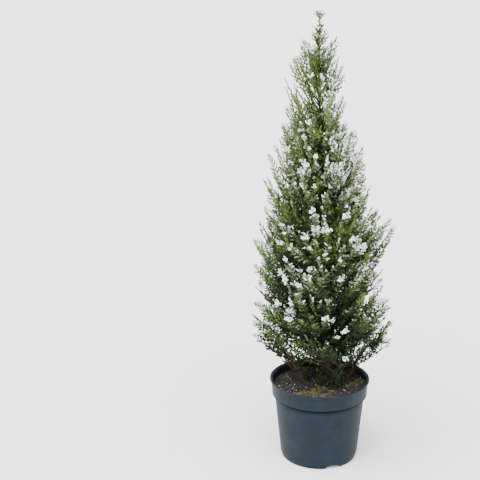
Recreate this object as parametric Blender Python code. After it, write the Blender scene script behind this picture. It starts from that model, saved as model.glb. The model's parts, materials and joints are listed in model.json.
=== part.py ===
# A Lawson cypress in a nursery pot: a round plastic pot filled with soil, a trunk that runs up
# through the crown, side stems from the soil, boughs, and masses of foliage with snow on them.
# Metres, +Z up. The origin is the middle of the pot's underside, and the front looks along -Y.

import math
import random

import bmesh
import bpy
from mathutils import Matrix, Quaternion, Vector, noise
from mathutils.bvhtree import BVHTree

# Pot: a trade 19 cm container
POT_HEIGHT = 0.158
RIM_RADIUS = 0.095
RIM_LIP = 0.0035
COLLAR_TOP_RADIUS = 0.0922
COLLAR_FOOT_RADIUS = 0.0905
COLLAR_FOOT_HEIGHT = 0.127
SHOULDER_HEIGHT = 0.1125
SHOULDER_RADIUS = 0.083
BODY_FOOT_RADIUS = 0.0742
BODY_FOOT_HEIGHT = 0.010
BASE_RADIUS = 0.0712
POT_WALL = 0.002
FOOT_RING_WIDTH = 0.0045
FLOOR_UNDERSIDE = 0.0105
POT_STEPS = 40
NOTCH_COUNT = 3
NOTCH_AZIMUTH = math.radians(-72)
NOTCH_WIDTH_BELOW = 0.030
NOTCH_WIDTH_ABOVE = 0.024
NOTCH_HEIGHT = 0.009
DRAIN_COUNT = 6
DRAIN_RADIUS = 0.0045
DRAIN_CIRCLE = 0.048
GAP = 0.0003

# Soil: level round the stems, higher against the wall in front and lower at the back left
SOIL_LEVEL = 0.146
SOIL_FLAT_RADIUS = 0.062
SOIL_RINGS = (0.086, 0.079, 0.071, SOIL_FLAT_RADIUS)
SOIL_STEPS = 24
SOIL_RISE = 0.005
SOIL_RISE_AZIMUTH = math.radians(-70)
SOIL_ROUGHNESS = 0.003
SOIL_LUMP_SIZE = 0.020

# Trunk: its foot stands right of the pot's middle and its tip leans a little to the left
TRUNK_FOOT = (0.022, 0.012)
TRUNK_HEAD = (-0.009, 0.0)
TRUNK_TOP = 0.775
TRUNK_SWAY = 0.0025
TRUNK_RADIUS = 0.0080
TRUNK_TIP_RADIUS = 0.0008
TRUNK_TAPER = 0.9
ROOT_FLARE = 0.0035
ROOT_FLARE_HEIGHT = 0.010
TRUNK_SIDES = 8

# A limb that leaves the trunk at the height a is at a * (1 + CLIMB * r + BEND * r * r) at the
# distance r from it, so limbs rise more steeply the higher they start, and never cross.
CLIMB = 2.0
BEND = 14.0

# The crown's reach from the trunk at some heights, and the box that its tips keep to
CROWN_PROFILE = (
    (0.165, 0.070),
    (0.205, 0.096),
    (0.240, 0.118),
    (0.320, 0.130),
    (0.390, 0.126),
    (0.460, 0.115),
    (0.540, 0.094),
    (0.620, 0.074),
    (0.690, 0.049),
    (0.765, 0.043),
    (0.795, 0.024),
    (0.820, 0.013),
    (0.843, 0.006),
)
PLANT_TOP = 0.843
HALF_WIDTH = 0.130
LOBE_DEPTH = 0.07
LOBE_COUNT = 3

# Tiers of foliage, bottom up: the height each starts at on the trunk, how many masses go round
# it, the azimuth of the first in degrees, the shoots of each mass and the length of their sprays
TIERS = (
    (0.140, 4, 192, 12, 0.062),
    (0.192, 5, 178, 10, 0.074),
    (0.244, 5, 216, 8, 0.076),
    (0.302, 4, 185, 9, 0.078),
    (0.370, 4, 222, 9, 0.078),
    (0.450, 3, 230, 10, 0.073),
    (0.540, 3, 180, 10, 0.064),
    (0.625, 2, 200, 15, 0.052),
    (0.750, 1, 90, 16, 0.026),
)
TIER_TOP = 0.850
BOUGH_TIERS = (1, 2, 3, 4)
# Where in its tier's band of heights a limb or mass leaves the trunk
FOOT_SHARES = (0.35, 0.4, 0.4, 0.4, 0.35, 0.2, 0.15, 0.1, 0.1)
SPACE_OVERLAP = 0.010
SPACE_OVERLAP_TURN = math.radians(12)

# Limbs: the side stems come out of the soil at these distances from the trunk
SIDE_STEM_OFFSETS = (0.046, 0.034, 0.029, 0.036)
SIDE_STEM_RADIUS = 0.0042
SIDE_STEM_LEAN = 0.010
BOUGH_RADIUS = 0.0028
LIMB_TIP_RADIUS = 0.0021
LIMB_SIDES = 5
LIMB_RINGS = 4
LIMB_SHARE = 0.24

# Foliage
MASS_STEM_RINGS = 4
MASS_STEM_RADIUS = 0.0020
MASS_STEM_TIP_RADIUS = 0.0012
MASS_STEM_FEET = 12
MASS_STEM_SHARE = 0.72
TWIG_RADIUS = 0.0009
TWIG_SIDES = 3
# A twig's foot is sunk into the stem or twig that bears it, at this share of that one's radius
FOOT_SHARE = 0.42
# The share of a twig, next to its foot, that may touch the pieces it grows from
CLEAR_SHARE = 0.2
GOLDEN_TURN = math.radians(137.5)
# Sprays: how far out in the mass each ends, and how they fan out and lift away from its stem
SPRAY_DEPTHS = (1.0, 0.72, 0.95, 0.5)
SPRAY_SHARE = 0.72
SPRAY_FAN = 0.65
SPRAY_LIFT = 0.10
SPRAY_THICKNESS = 0.045
SPRAY_MIDDLE = 0.42
# Half of a spray's toothed outline: distances along and across it, as shares of its length
SPRAY_TEETH = ((0.30, 0.25), (0.45, 0.10), (0.62, 0.225), (0.68, 0.08), (0.88, 0.115))
# A spray that doesn't fit is tried again shorter and drawn back, and none starts at the trunk
SPRAY_TRIES = 9
TRUNK_CLEARANCE = 0.006
SPRAY_SHRINK = 0.07
SPRAY_DRAW_BACK = 0.04
SNOW_LUMPS = (0, 0, 0, 1, 1, 1, 1, 1, 1)
SNOW_RADIUS = 0.0062
SNOW_FLATNESS = 0.7
SEED = 41


def material(name, colour, roughness):
    """A plain finish: its linear colour and its roughness."""
    made = bpy.data.materials.new(name)
    made.use_nodes = True
    shader = made.node_tree.nodes["Principled BSDF"]
    shader.inputs["Base Color"].default_value = (*colour, 1.0)
    shader.inputs["Roughness"].default_value = roughness
    shader.inputs["Metallic"].default_value = 0.0
    return made


def new_object(name, bm, finish):
    """An object made from a bmesh, linked to the scene, with its faces pointing out."""
    bmesh.ops.recalc_face_normals(bm, faces=bm.faces)
    mesh = bpy.data.meshes.new(name)
    bm.to_mesh(mesh)
    bm.free()
    obj = bpy.data.objects.new(name, mesh)
    bpy.context.scene.collection.objects.link(obj)
    if finish:
        mesh.materials.append(finish)
    return obj


# The tree's shape


def blend(a, b, share):
    return a + (b - a) * share


def trunk_centre(height):
    """The middle of the trunk at a height."""
    share = min(1.0, max(0.0, (height - SOIL_LEVEL) / (TRUNK_TOP - SOIL_LEVEL)))
    back = (1.0 - share) ** 2
    sway = TRUNK_SWAY * math.sin(math.tau * share)
    x = blend(TRUNK_HEAD[0], TRUNK_FOOT[0], back) - sway
    y = blend(TRUNK_HEAD[1], TRUNK_FOOT[1], back) + sway
    return Vector((x, y, height))


def trunk_radius(height):
    """The trunk's radius at a height, with the root flare at its foot."""
    share = min(1.0, max(0.0, (height - SOIL_LEVEL) / (TRUNK_TOP - SOIL_LEVEL)))
    taper = blend(TRUNK_TIP_RADIUS, TRUNK_RADIUS, (1.0 - share) ** TRUNK_TAPER)
    return taper + ROOT_FLARE * math.exp(-max(0.0, height - SOIL_LEVEL) / ROOT_FLARE_HEIGHT)


def climb_factor(reach):
    return 1.0 + CLIMB * reach + BEND * reach * reach


def level(azimuth):
    return Vector((math.cos(azimuth), math.sin(azimuth), 0.0))


def limb_point(start, azimuth, reach):
    """Where a limb that leaves the trunk at the height start is, at a distance from the trunk."""
    return trunk_centre(start * climb_factor(reach)) + level(azimuth) * reach


def limb_place(point):
    """The start height, azimuth and distance from the trunk of a point: limb_point's inverse."""
    offset = point - trunk_centre(point.z)
    reach = math.hypot(offset.x, offset.y)
    return point.z / climb_factor(reach), math.atan2(offset.y, offset.x), reach


def limb_direction(start, azimuth, reach):
    """The way a limb grows at a distance from the trunk."""
    return (level(azimuth) + Vector((0, 0, start * (CLIMB + 2 * BEND * reach)))).normalized()


def crown_reach(height, azimuth):
    """How far from the trunk the crown reaches at a height, with shallow lobes round it."""
    reach = CROWN_PROFILE[0][1]
    for (low, low_reach), (high, high_reach) in zip(CROWN_PROFILE, CROWN_PROFILE[1:]):
        if height > low:
            reach = blend(low_reach, high_reach, min(1.0, (height - low) / (high - low)))
    lobe = math.sin(LOBE_COUNT * azimuth + 19.0 * height) * math.sin(31.0 * height + azimuth)
    return reach * (1.0 + LOBE_DEPTH * lobe)


def limb_end(start, azimuth, share):
    """The distance at which a limb has gone a share of the way out to the crown's outline."""
    reach = 0.0
    step = 0.001
    while reach < share * crown_reach(start * climb_factor(reach), azimuth):
        reach += step
    return reach


def limb_line(first_start, last_start, azimuth, first, last, count):
    """Points of a limb from one distance from the trunk to another, as its start height changes."""
    shares = [i / (count - 1) for i in range(count)]
    return [
        limb_point(blend(first_start, last_start, share), azimuth, blend(first, last, share))
        for share in shares
    ]


# Solids


def tube(points, radii, sides, first_normal=None):
    """A closed tube through the points, as a bmesh. first_normal is the way its foot is cut."""
    bm = bmesh.new()
    side = None
    rings = []
    for i, (point, radius) in enumerate(zip(points, radii)):
        along = (points[min(len(points) - 1, i + 1)] - points[max(0, i - 1)]).normalized()
        if i == 0 and first_normal is not None:
            along = first_normal
        side = along.orthogonal() if side is None else side
        side = (side - along * side.dot(along)).normalized()
        up = along.cross(side)
        ring = []
        for k in range(sides):
            angle = math.tau * k / sides
            ring.append(bm.verts.new(point + radius * (math.cos(angle) * side + math.sin(angle) * up)))
        rings.append(ring)
    for lower, upper in zip(rings, rings[1:]):
        for k in range(sides):
            bm.faces.new((lower[k], lower[(k + 1) % sides], upper[(k + 1) % sides], upper[k]))
    bm.faces.new(reversed(rings[0]))
    bm.faces.new(rings[-1])
    return bm


def shoot(foot, foot_radius, root, along, normal, length):
    """A twig from its foot to its root that widens into a flat toothed spray, as a bmesh."""
    normal = (normal - along * normal.dot(along)).normalized()
    across = normal.cross(along)
    stalk = (root - foot).normalized()
    side = (across - stalk * across.dot(stalk)).normalized()
    up = side.cross(stalk) * (1.0 if side.cross(stalk).dot(normal) > 0.0 else -1.0)
    bm = bmesh.new()
    corners = (side - up * 0.5, up, -side - up * 0.5)
    base = [bm.verts.new(foot + corner * foot_radius) for corner in corners]
    neck = [bm.verts.new(root + corner * TWIG_RADIUS) for corner in (across, normal, -across)]
    outline = [*SPRAY_TEETH, (1.0, 0.0), *[(x, -y) for x, y in reversed(SPRAY_TEETH)]]
    edge = [neck[0]]
    edge += [bm.verts.new(root + length * (x * along + y * across)) for x, y in outline]
    edge.append(neck[2])
    middle = root + length * SPRAY_MIDDLE * along
    above = bm.verts.new(middle + normal * length * SPRAY_THICKNESS / 2)
    below = bm.verts.new(middle - normal * length * SPRAY_THICKNESS / 2)
    for k in range(3):
        bm.faces.new((base[k], base[(k + 1) % 3], neck[(k + 1) % 3], neck[k]))
    bm.faces.new(base)
    bm.faces.new((neck[1], neck[0], above))
    bm.faces.new((neck[2], neck[1], above))
    bm.faces.new((neck[0], neck[2], below))
    for a, b in zip(edge, edge[1:]):
        bm.faces.new((a, b, above))
        bm.faces.new((b, a, below))
    return bm


def ball(centre, along, half_length, half_width):
    """A twenty-sided ball stretched along a direction, as a bmesh."""
    bm = bmesh.new()
    turn = Vector((0, 0, 1)).rotation_difference(along).to_matrix().to_4x4()
    size = Matrix.Diagonal((half_width, half_width, half_length, 1.0))
    place = Matrix.Translation(centre) @ turn @ size
    bmesh.ops.create_icosphere(bm, subdivisions=1, radius=1.0, matrix=place)
    return bm


# Pot and soil


def turned(profile, steps):
    """A solid of revolution: a line of (radius, height) points from axis to axis, spun round Z."""
    bm = bmesh.new()
    verts = [bm.verts.new((radius, 0.0, height)) for radius, height in profile]
    edges = [bm.edges.new(pair) for pair in zip(verts, verts[1:])]
    spun = {"axis": (0, 0, 1), "cent": (0, 0, 0), "angle": math.tau, "steps": steps}
    bmesh.ops.spin(bm, geom=verts + edges, use_merge=True, **spun)
    bmesh.ops.remove_doubles(bm, verts=bm.verts, dist=0.00001)
    return bm


def pot_cutter():
    """The notches in the foot ring and the drain holes in the floor, as one hidden cutter."""
    bm = bmesh.new()
    below, above = NOTCH_WIDTH_BELOW / 2, NOTCH_WIDTH_ABOVE / 2
    section = ((-below, -0.001), (below, -0.001), (above, NOTCH_HEIGHT), (-above, NOTCH_HEIGHT))
    for i in range(NOTCH_COUNT):
        turn = Matrix.Rotation(NOTCH_AZIMUTH + math.tau * i / NOTCH_COUNT, 4, "Z")
        inner = [bm.verts.new(turn @ Vector((BASE_RADIUS - 0.014, y, z))) for y, z in section]
        outer = [bm.verts.new(turn @ Vector((BASE_RADIUS + 0.009, y, z))) for y, z in section]
        for k in range(4):
            bm.faces.new((inner[k], inner[(k + 1) % 4], outer[(k + 1) % 4], outer[k]))
        bm.faces.new(inner)
        bm.faces.new(outer)
    for i in range(DRAIN_COUNT):
        place = level(math.tau * (i + 0.5) / DRAIN_COUNT) * DRAIN_CIRCLE
        place.z = FLOOR_UNDERSIDE
        size = {"radius1": DRAIN_RADIUS, "radius2": DRAIN_RADIUS, "depth": 4 * POT_WALL}
        place = Matrix.Translation(place)
        bmesh.ops.create_cone(bm, cap_ends=True, segments=10, matrix=place, **size)
    cutter = new_object("pot_cutter", bm, None)
    cutter.hide_render = True
    cutter.display_type = "WIRE"
    return cutter


def inner_wall(gap=0.0):
    """The inside of the pot's wall, from the floor up, moved in by a gap."""
    floor = FLOOR_UNDERSIDE + POT_WALL
    inset = POT_WALL + gap
    return (
        (BODY_FOOT_RADIUS - inset, floor + gap),
        (SHOULDER_RADIUS - inset, SHOULDER_HEIGHT + gap),
        (COLLAR_FOOT_RADIUS - inset, COLLAR_FOOT_HEIGHT + gap),
        (COLLAR_TOP_RADIUS - inset, POT_HEIGHT - RIM_LIP),
    )


def make_pot(finish):
    """The pot: a lipped collar over a tapered body, on a notched foot ring with a drained floor."""
    profile = [(0.0, FLOOR_UNDERSIDE + POT_WALL), *inner_wall()]
    profile += [
        (RIM_RADIUS - POT_WALL, POT_HEIGHT),
        (RIM_RADIUS, POT_HEIGHT),
        (RIM_RADIUS, POT_HEIGHT - RIM_LIP),
        (COLLAR_TOP_RADIUS, POT_HEIGHT - RIM_LIP - 0.001),
        (COLLAR_FOOT_RADIUS, COLLAR_FOOT_HEIGHT),
        (SHOULDER_RADIUS, SHOULDER_HEIGHT),
        (BODY_FOOT_RADIUS, BODY_FOOT_HEIGHT),
        (BASE_RADIUS, 0.0),
        (BASE_RADIUS - FOOT_RING_WIDTH, 0.0),
        (BASE_RADIUS - FOOT_RING_WIDTH - 0.001, FLOOR_UNDERSIDE),
        (0.0, FLOOR_UNDERSIDE),
    ]
    pot = new_object("pot", turned(profile, POT_STEPS), finish)
    cut = pot.modifiers.new("notches and drain holes", "BOOLEAN")
    cut.operation = "DIFFERENCE"
    cut.object = pot_cutter()
    pot.data.shade_smooth()
    pot.data.set_sharp_from_angle(angle=math.radians(30))


def make_soil(finish):
    """The soil: it fills the pot up into the collar, level round the stems and lumpy outside."""
    wall = inner_wall(GAP)
    low, high = wall[-2], wall[-1]
    edge_radius = blend(low[0], high[0], (SOIL_LEVEL - low[1]) / (high[1] - low[1]))
    profile = [(0.0, wall[0][1]), *wall[:-1], (edge_radius, SOIL_LEVEL)]
    profile += [(radius, SOIL_LEVEL) for radius in SOIL_RINGS]
    profile.append((0.0, SOIL_LEVEL))
    bm = turned(profile, SOIL_STEPS)
    for vert in bm.verts:
        radius = math.hypot(vert.co.x, vert.co.y)
        if vert.co.z > SOIL_LEVEL - 0.0001 and SOIL_FLAT_RADIUS + 0.001 < radius < edge_radius - 0.001:
            share = (radius - SOIL_FLAT_RADIUS) / (edge_radius - SOIL_FLAT_RADIUS)
            facing = math.cos(math.atan2(vert.co.y, vert.co.x) - SOIL_RISE_AZIMUTH)
            vert.co.z += share * SOIL_RISE * facing
            vert.co.z += SOIL_ROUGHNESS * noise.noise(vert.co / SOIL_LUMP_SIZE)
    new_object("soil", bm, finish)


# Trunk and limbs


def make_trunk(finish):
    """The trunk: one leader from its flat foot on the soil to the tip of the crown."""
    foot = SOIL_LEVEL + GAP
    heights = [foot, foot + 0.006, foot + 0.016, foot + 0.034]
    rest = 12
    heights += [blend(heights[3], TRUNK_TOP, (i + 1) / rest) for i in range(rest)]
    points = [trunk_centre(height) for height in heights]
    radii = [trunk_radius(height) for height in heights]
    return new_object("trunk", tube(points, radii, TRUNK_SIDES, Vector((0, 0, 1))), finish)


def make_limb(name, points, radius, first_normal, finish):
    """A side stem or bough: one tapering limb, up to where its mass of foliage starts."""
    radii = [blend(radius, LIMB_TIP_RADIUS, i / (len(points) - 1)) for i in range(len(points))]
    limb = new_object(name, tube(points, radii, LIMB_SIDES, first_normal), finish)
    limb.data.shade_smooth()
    return limb


def side_stem_points(start, azimuth, offset):
    """A side stem's line: it leans away from its foot in the soil and joins the line of its tier."""
    foot = trunk_centre(SOIL_LEVEL + GAP) + level(azimuth) * offset
    foot_start, _, first = limb_place(foot)
    return limb_line(foot_start, start, azimuth, first, first + SIDE_STEM_LEAN, LIMB_RINGS)


def bough_points(start, azimuth):
    """A bough's line: from the trunk's bark to where its mass starts."""
    first = trunk_radius(start) + GAP
    return limb_line(start, start, azimuth, first, limb_end(start, azimuth, LIMB_SHARE), LIMB_RINGS)


# Foliage


class Space:
    """The space of one mass: a band of start heights and a sector of azimuths round the trunk."""

    def __init__(self, low, high, azimuth, sector, taken):
        self.low, self.high = low, high
        self.azimuth, self.sector = azimuth, sector
        self.taken = taken
        self.others = []

    def holds_point(self, point):
        start, azimuth, reach = limb_place(point)
        if not self.low - SPACE_OVERLAP < start < self.high + SPACE_OVERLAP:
            return False
        if max(abs(point.x), abs(point.y)) > HALF_WIDTH or not SOIL_LEVEL + 0.004 < point.z < PLANT_TOP:
            return False
        if reach > 1.03 * crown_reach(point.z, azimuth) + 0.002:
            return False
        aside = abs((azimuth - self.azimuth + math.pi) % math.tau - math.pi)
        return aside < self.sector / 2 + SPACE_OVERLAP_TURN

    def holds(self, bm):
        """Whether a piece keeps to the space and touches no limb and no other mass."""
        for edge in bm.edges:
            first, second = edge.verts
            if not all(self.holds_point(first.co.lerp(second.co, share)) for share in (0.0, 0.5, 1.0)):
                return False
        tree = BVHTree.FromBMesh(bm)
        return not any(other.overlap(tree) for other in self.taken + self.others)


def on_line(points, share):
    """The point at a share of a line's length, and the line's direction there."""
    place = share * (len(points) - 1)
    k = min(len(points) - 2, int(place))
    return points[k].lerp(points[k + 1], place - k), (points[k + 1] - points[k]).normalized()


class Mass:
    """A mass of foliage as it grows: its stem, its pieces, and the places twigs can start from."""

    def __init__(self, name, space, stem_points):
        self.rng = random.Random(f"{SEED} {name}")
        self.space = space
        self.stem_points = stem_points
        self.pieces = []
        self.sprays = []
        self.trees = []
        self.feet = []
        for i in range(MASS_STEM_FEET):
            share = (i + 0.5) / MASS_STEM_FEET
            radius = blend(MASS_STEM_RADIUS, MASS_STEM_TIP_RADIUS, share)
            self.feet.append((*on_line(stem_points, share), radius))

    def add_shoot(self, tip, along, length):
        """A shoot whose spray ends at the tip, from the nearest twig that it can branch from."""
        full_tip, full_length = tip, length
        for attempt in range(SPRAY_TRIES):
            length = full_length * (1.0 - SPRAY_SHRINK * attempt)
            tip = full_tip - along * full_length * SPRAY_DRAW_BACK * attempt
            side = along.cross(Vector((0, 0, 1))).normalized()
            side.rotate(Quaternion(along, self.rng.uniform(0.0, math.pi)))
            root = tip - along * length
            feet = [place for place in self.feet if self.branches(place, root, along)]
            feet.sort(key=lambda place: (place[0] - root).length)
            for place in feet[:4]:
                foot, _, radius = place
                test = shoot(foot.lerp(root, CLEAR_SHARE), TWIG_RADIUS, root, along, side, length)
                tree = BVHTree.FromBMesh(test)
                fits = self.space.holds(test) and not any(other.overlap(tree) for other in self.trees)
                test.free()
                if not fits:
                    continue
                piece = shoot(foot, radius * FOOT_SHARE, root, along, side, length)
                self.pieces.append(piece)
                self.trees.append(BVHTree.FromBMesh(piece))
                self.sprays.append((root, along, length))
                self.feet.remove(place)
                self.feet.append((foot.lerp(root, 0.75), (root - foot).normalized(), TWIG_RADIUS))
                return

    def branches(self, place, root, along):
        """Whether a twig can leave a place for a spray's root without a sharp turn."""
        foot, growing, _ = place
        twig = root - foot
        if twig.length < 0.006:
            return False
        twig.normalize()
        return twig.dot(growing) > 0.25 and twig.dot(along) > 0.25

    def add_ball(self, centre, along, half_length, half_width):
        """A ball fused on where the space holds it."""
        bm = ball(centre, along, half_length, half_width)
        if self.space.holds(bm):
            self.pieces.append(bm)
        else:
            bm.free()


def mass_stem(points, space):
    """The stem that a mass grows from."""
    last = len(points) - 1
    radii = [blend(MASS_STEM_RADIUS, MASS_STEM_TIP_RADIUS, i / last) for i in range(last + 1)]
    return tube(points, radii, TWIG_SIDES, space.first_normal)


def grow_mass(name, space, stem_points, shoots, length, snow_lumps, finish):
    """One mass: shoots spread from its stem to fill its space out to the crown's outline."""
    mass = Mass(name, space, stem_points)
    rng = mass.rng
    middle = (space.low + space.high) / 2
    turn = rng.uniform(0.0, math.tau)
    for i in range(shoots):
        turn += GOLDEN_TURN
        spread = 1.0 - 0.9 * (i / shoots) ** 1.5
        start = middle + spread * math.sin(turn) * (space.high - space.low) / 2
        azimuth = space.azimuth + spread * math.cos(turn) * space.sector / 2
        depth = SPRAY_DEPTHS[i % len(SPRAY_DEPTHS)]
        reach = blend(limb_place(stem_points[0])[2], limb_end(start, azimuth, 1.0), depth)
        tip = limb_point(start, azimuth, reach)
        along = limb_direction(start, azimuth, reach)
        fan = (level(azimuth) - level(space.azimuth)) * (1.0 - space.sector / math.tau)
        along = (along + fan * SPRAY_FAN + Vector((0, 0, SPRAY_LIFT))).normalized()
        size = length * rng.uniform(0.85, 1.1) * blend(0.5, 1.0, depth)
        size = min(size, SPRAY_SHARE * (tip - stem_points[0]).length)
        size = min(size, (reach - TRUNK_CLEARANCE) / math.hypot(along.x, along.y))
        mass.add_shoot(tip, along, size)
    for root, along, size in rng.sample(mass.sprays, min(snow_lumps, len(mass.sprays))):
        radius = SNOW_RADIUS * rng.uniform(0.85, 1.25)
        centre = root + along * size * rng.uniform(0.35, 0.6)
        mass.add_ball(centre, Vector((0, 0, 1)), radius * SNOW_FLATNESS, radius)
    return fuse(name, mass_stem(stem_points, space), mass.pieces, finish)


def fuse(name, base, pieces, finish):
    """Joins the pieces of a mass to its stem by one Boolean union on a collection."""
    parts = bpy.data.collections.new(name + " pieces")
    for i, piece in enumerate(pieces):
        obj = new_object(f"{name} piece {i}", piece, None)
        bpy.context.scene.collection.objects.unlink(obj)
        parts.objects.link(obj)
    mass = new_object(name, base, finish)
    union = mass.modifiers.new("union", "BOOLEAN")
    union.operation = "UNION"
    union.operand_type = "COLLECTION"
    union.solver = "MANIFOLD"
    union.collection = parts
    graph = bpy.context.evaluated_depsgraph_get()
    joined = bpy.data.meshes.new_from_object(mass.evaluated_get(graph))
    mass.modifiers.remove(union)
    mass.data = joined
    keep_largest(joined)
    for obj in list(parts.objects):
        bpy.data.objects.remove(obj)
    bpy.data.collections.remove(parts)
    return mass


def keep_largest(mesh):
    """Fills the hollows that a union sealed and drops its loose scraps: one closed shell stays."""
    bm = bmesh.new()
    bm.from_mesh(mesh)
    left = set(bm.faces)
    shells = []
    while left:
        shell = {left.pop()}
        edge_of_shell = list(shell)
        while edge_of_shell:
            face = edge_of_shell.pop()
            for near in {other for edge in face.edges for other in edge.link_faces} & left:
                left.remove(near)
                shell.add(near)
                edge_of_shell.append(near)
        shells.append(shell)
    kept = max(shells, key=lambda faces: sum(face.calc_area() for face in faces))
    loose = [face for face in bm.faces if face not in kept]
    bmesh.ops.delete(bm, geom=loose, context="FACES")
    bm.to_mesh(mesh)
    bm.free()


def surface_tree(obj):
    """The surface of a finished object, for telling what touches it."""
    bm = bmesh.new()
    bm.from_mesh(obj.data)
    tree = BVHTree.FromBMesh(bm)
    bm.free()
    return tree


def main():
    for obj in list(bpy.data.objects):
        bpy.data.objects.remove(obj)
    plastic = material("pot plastic", (0.045, 0.072, 0.095), 0.5)
    peat = material("peat soil", (0.018, 0.012, 0.009), 0.95)
    bark = material("cypress bark", (0.075, 0.042, 0.024), 0.9)
    leaf = material("cypress foliage", (0.062, 0.135, 0.030), 0.6)
    make_pot(plastic)
    make_soil(peat)
    trunk = make_trunk(bark)
    trunk.data.shade_smooth()
    taken = [surface_tree(trunk)]
    masses = []
    for tier, (low, count, first_azimuth, shoots, length) in enumerate(TIERS):
        high = TIERS[tier + 1][0] if tier + 1 < len(TIERS) else TIER_TOP
        start = blend(low, high, 0.5)
        foot_start = blend(low, high, FOOT_SHARES[tier])
        for k in range(count):
            azimuth = math.radians(first_azimuth) + math.tau * k / count
            label = f"{tier + 1}_{k + 1}"
            limb = None
            if tier == 0:
                points = side_stem_points(foot_start, azimuth, SIDE_STEM_OFFSETS[k])
                limb = make_limb(f"side_stem_{k + 1}", points, SIDE_STEM_RADIUS, Vector((0, 0, 1)), bark)
            elif tier in BOUGH_TIERS:
                points = bough_points(foot_start, azimuth)
                limb = make_limb(f"bough_{label}", points, BOUGH_RADIUS, level(azimuth), bark)
            if limb:
                taken.append(surface_tree(limb))
                normal = (points[-1] - points[-2]).normalized()
                foot = points[-1] + normal * GAP
            else:
                normal = level(azimuth)
                foot = limb_point(foot_start, azimuth, trunk_radius(foot_start) + GAP)
            first = limb_place(foot)[2]
            last = max(first + 0.012, limb_end(start, azimuth, MASS_STEM_SHARE))
            stem = [foot, *limb_line(foot_start, start, azimuth, first, last, MASS_STEM_RINGS)[1:]]
            if count == 1:
                normal = Vector((0, 0, 1))
                shares = [i / (MASS_STEM_RINGS - 1) for i in range(MASS_STEM_RINGS)]
                stem = [trunk_centre(blend(TRUNK_TOP + GAP, PLANT_TOP, share)) for share in shares]
            space = Space(low, high, azimuth, math.tau / count, taken)
            space.first_normal = normal
            masses.append((f"foliage_{label}", space, stem, shoots, length, SNOW_LUMPS[tier]))
    stems = [BVHTree.FromBMesh(mass_stem(values[2], values[1])) for values in masses]
    for i, values in enumerate(masses):
        values[1].others = stems[:i] + stems[i + 1:]
        taken.append(surface_tree(grow_mass(*values, leaf)))


main()
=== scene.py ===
import json
import math
import random
from collections import namedtuple

import bmesh
import bpy
import numpy as np
from mathutils import Matrix, Vector, kdtree, noise

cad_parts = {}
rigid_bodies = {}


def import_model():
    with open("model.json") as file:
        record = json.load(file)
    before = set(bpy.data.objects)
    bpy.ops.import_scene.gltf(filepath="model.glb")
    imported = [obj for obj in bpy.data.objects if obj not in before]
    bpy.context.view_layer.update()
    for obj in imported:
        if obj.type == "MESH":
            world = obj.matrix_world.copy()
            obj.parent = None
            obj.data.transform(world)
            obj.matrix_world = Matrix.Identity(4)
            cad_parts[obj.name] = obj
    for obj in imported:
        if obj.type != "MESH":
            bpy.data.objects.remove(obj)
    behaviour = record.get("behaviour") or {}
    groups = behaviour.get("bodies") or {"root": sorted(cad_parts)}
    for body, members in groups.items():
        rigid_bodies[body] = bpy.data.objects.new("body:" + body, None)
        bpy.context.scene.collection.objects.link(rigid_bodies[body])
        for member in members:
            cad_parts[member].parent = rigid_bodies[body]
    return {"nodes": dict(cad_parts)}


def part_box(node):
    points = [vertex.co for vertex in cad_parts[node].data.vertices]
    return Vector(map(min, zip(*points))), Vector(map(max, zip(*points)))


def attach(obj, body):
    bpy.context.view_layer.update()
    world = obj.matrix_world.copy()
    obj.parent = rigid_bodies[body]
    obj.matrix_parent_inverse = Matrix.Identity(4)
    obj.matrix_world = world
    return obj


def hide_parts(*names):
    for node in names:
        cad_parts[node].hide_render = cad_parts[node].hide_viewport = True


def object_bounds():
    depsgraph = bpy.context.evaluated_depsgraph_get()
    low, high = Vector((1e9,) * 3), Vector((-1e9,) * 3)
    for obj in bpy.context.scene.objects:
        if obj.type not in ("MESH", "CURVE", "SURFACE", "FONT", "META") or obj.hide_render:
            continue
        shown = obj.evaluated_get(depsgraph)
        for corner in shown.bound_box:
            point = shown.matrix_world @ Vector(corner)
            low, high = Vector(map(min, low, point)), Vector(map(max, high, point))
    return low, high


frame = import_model()
cad_low, cad_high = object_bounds()


# The pot: a 19 cm nursery pot of slate-blue polypropylene, injection-moulded in one shot.
# A thin lip stiffens the collar, which steps in to a tapered body. The foot ring is notched,
# and the floor has drain holes, so that water runs out from under it.
POT_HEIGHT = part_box("pot")[1].z
RIM_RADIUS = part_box("pot")[1].x
RIM_LIP = 0.0035
COLLAR_TOP_RADIUS = 0.0922
# Each pair is a radius and a height
COLLAR_FOOT = (0.0905, 0.1262)
COLLAR_LEDGE = (0.0850, 0.1252)
SHOULDER = (0.083, 0.1125)
SHOULDER_STEP = 0.0014
BODY_FOOT = (0.0742, 0.010)
BASE_RADIUS = 0.0712
FOOT_RING_WIDTH = 0.0045
MOULD_SLOPE = 0.001
FLOOR_UNDERSIDE = 0.0105
POT_WALL = 0.002
POT_STEPS = 144
EDGE_ROUNDING = 0.0011
NOTCH_AZIMUTHS = [math.radians(-72 + 120 * i) for i in range(3)]
NOTCH_WIDTHS = (0.030, 0.024)
NOTCH_HEIGHT = 0.009
NOTCH_DEPTHS = (-0.014, 0.009)
DRAIN_COUNT = 6
DRAIN_RADIUS = 0.0045
DRAIN_CIRCLE = 0.048
# Painted shade under the collar: the body just under it is painted near-black and less shiny, as
# if in the collar's shadow, and that fades out below
COLLAR_SHADE_EDGE = (0.1285, 0.1270)
COLLAR_SHADE_FADE = (0.1160, 0.1255)


def linear(code):
    """An sRGB hex colour as linear RGBA."""
    parts = [int(code[i:i + 2], 16) / 255 for i in (1, 3, 5)]
    return (*[p / 12.92 if p <= 0.04045 else ((p + 0.055) / 1.055) ** 2.4 for p in parts], 1.0)


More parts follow.
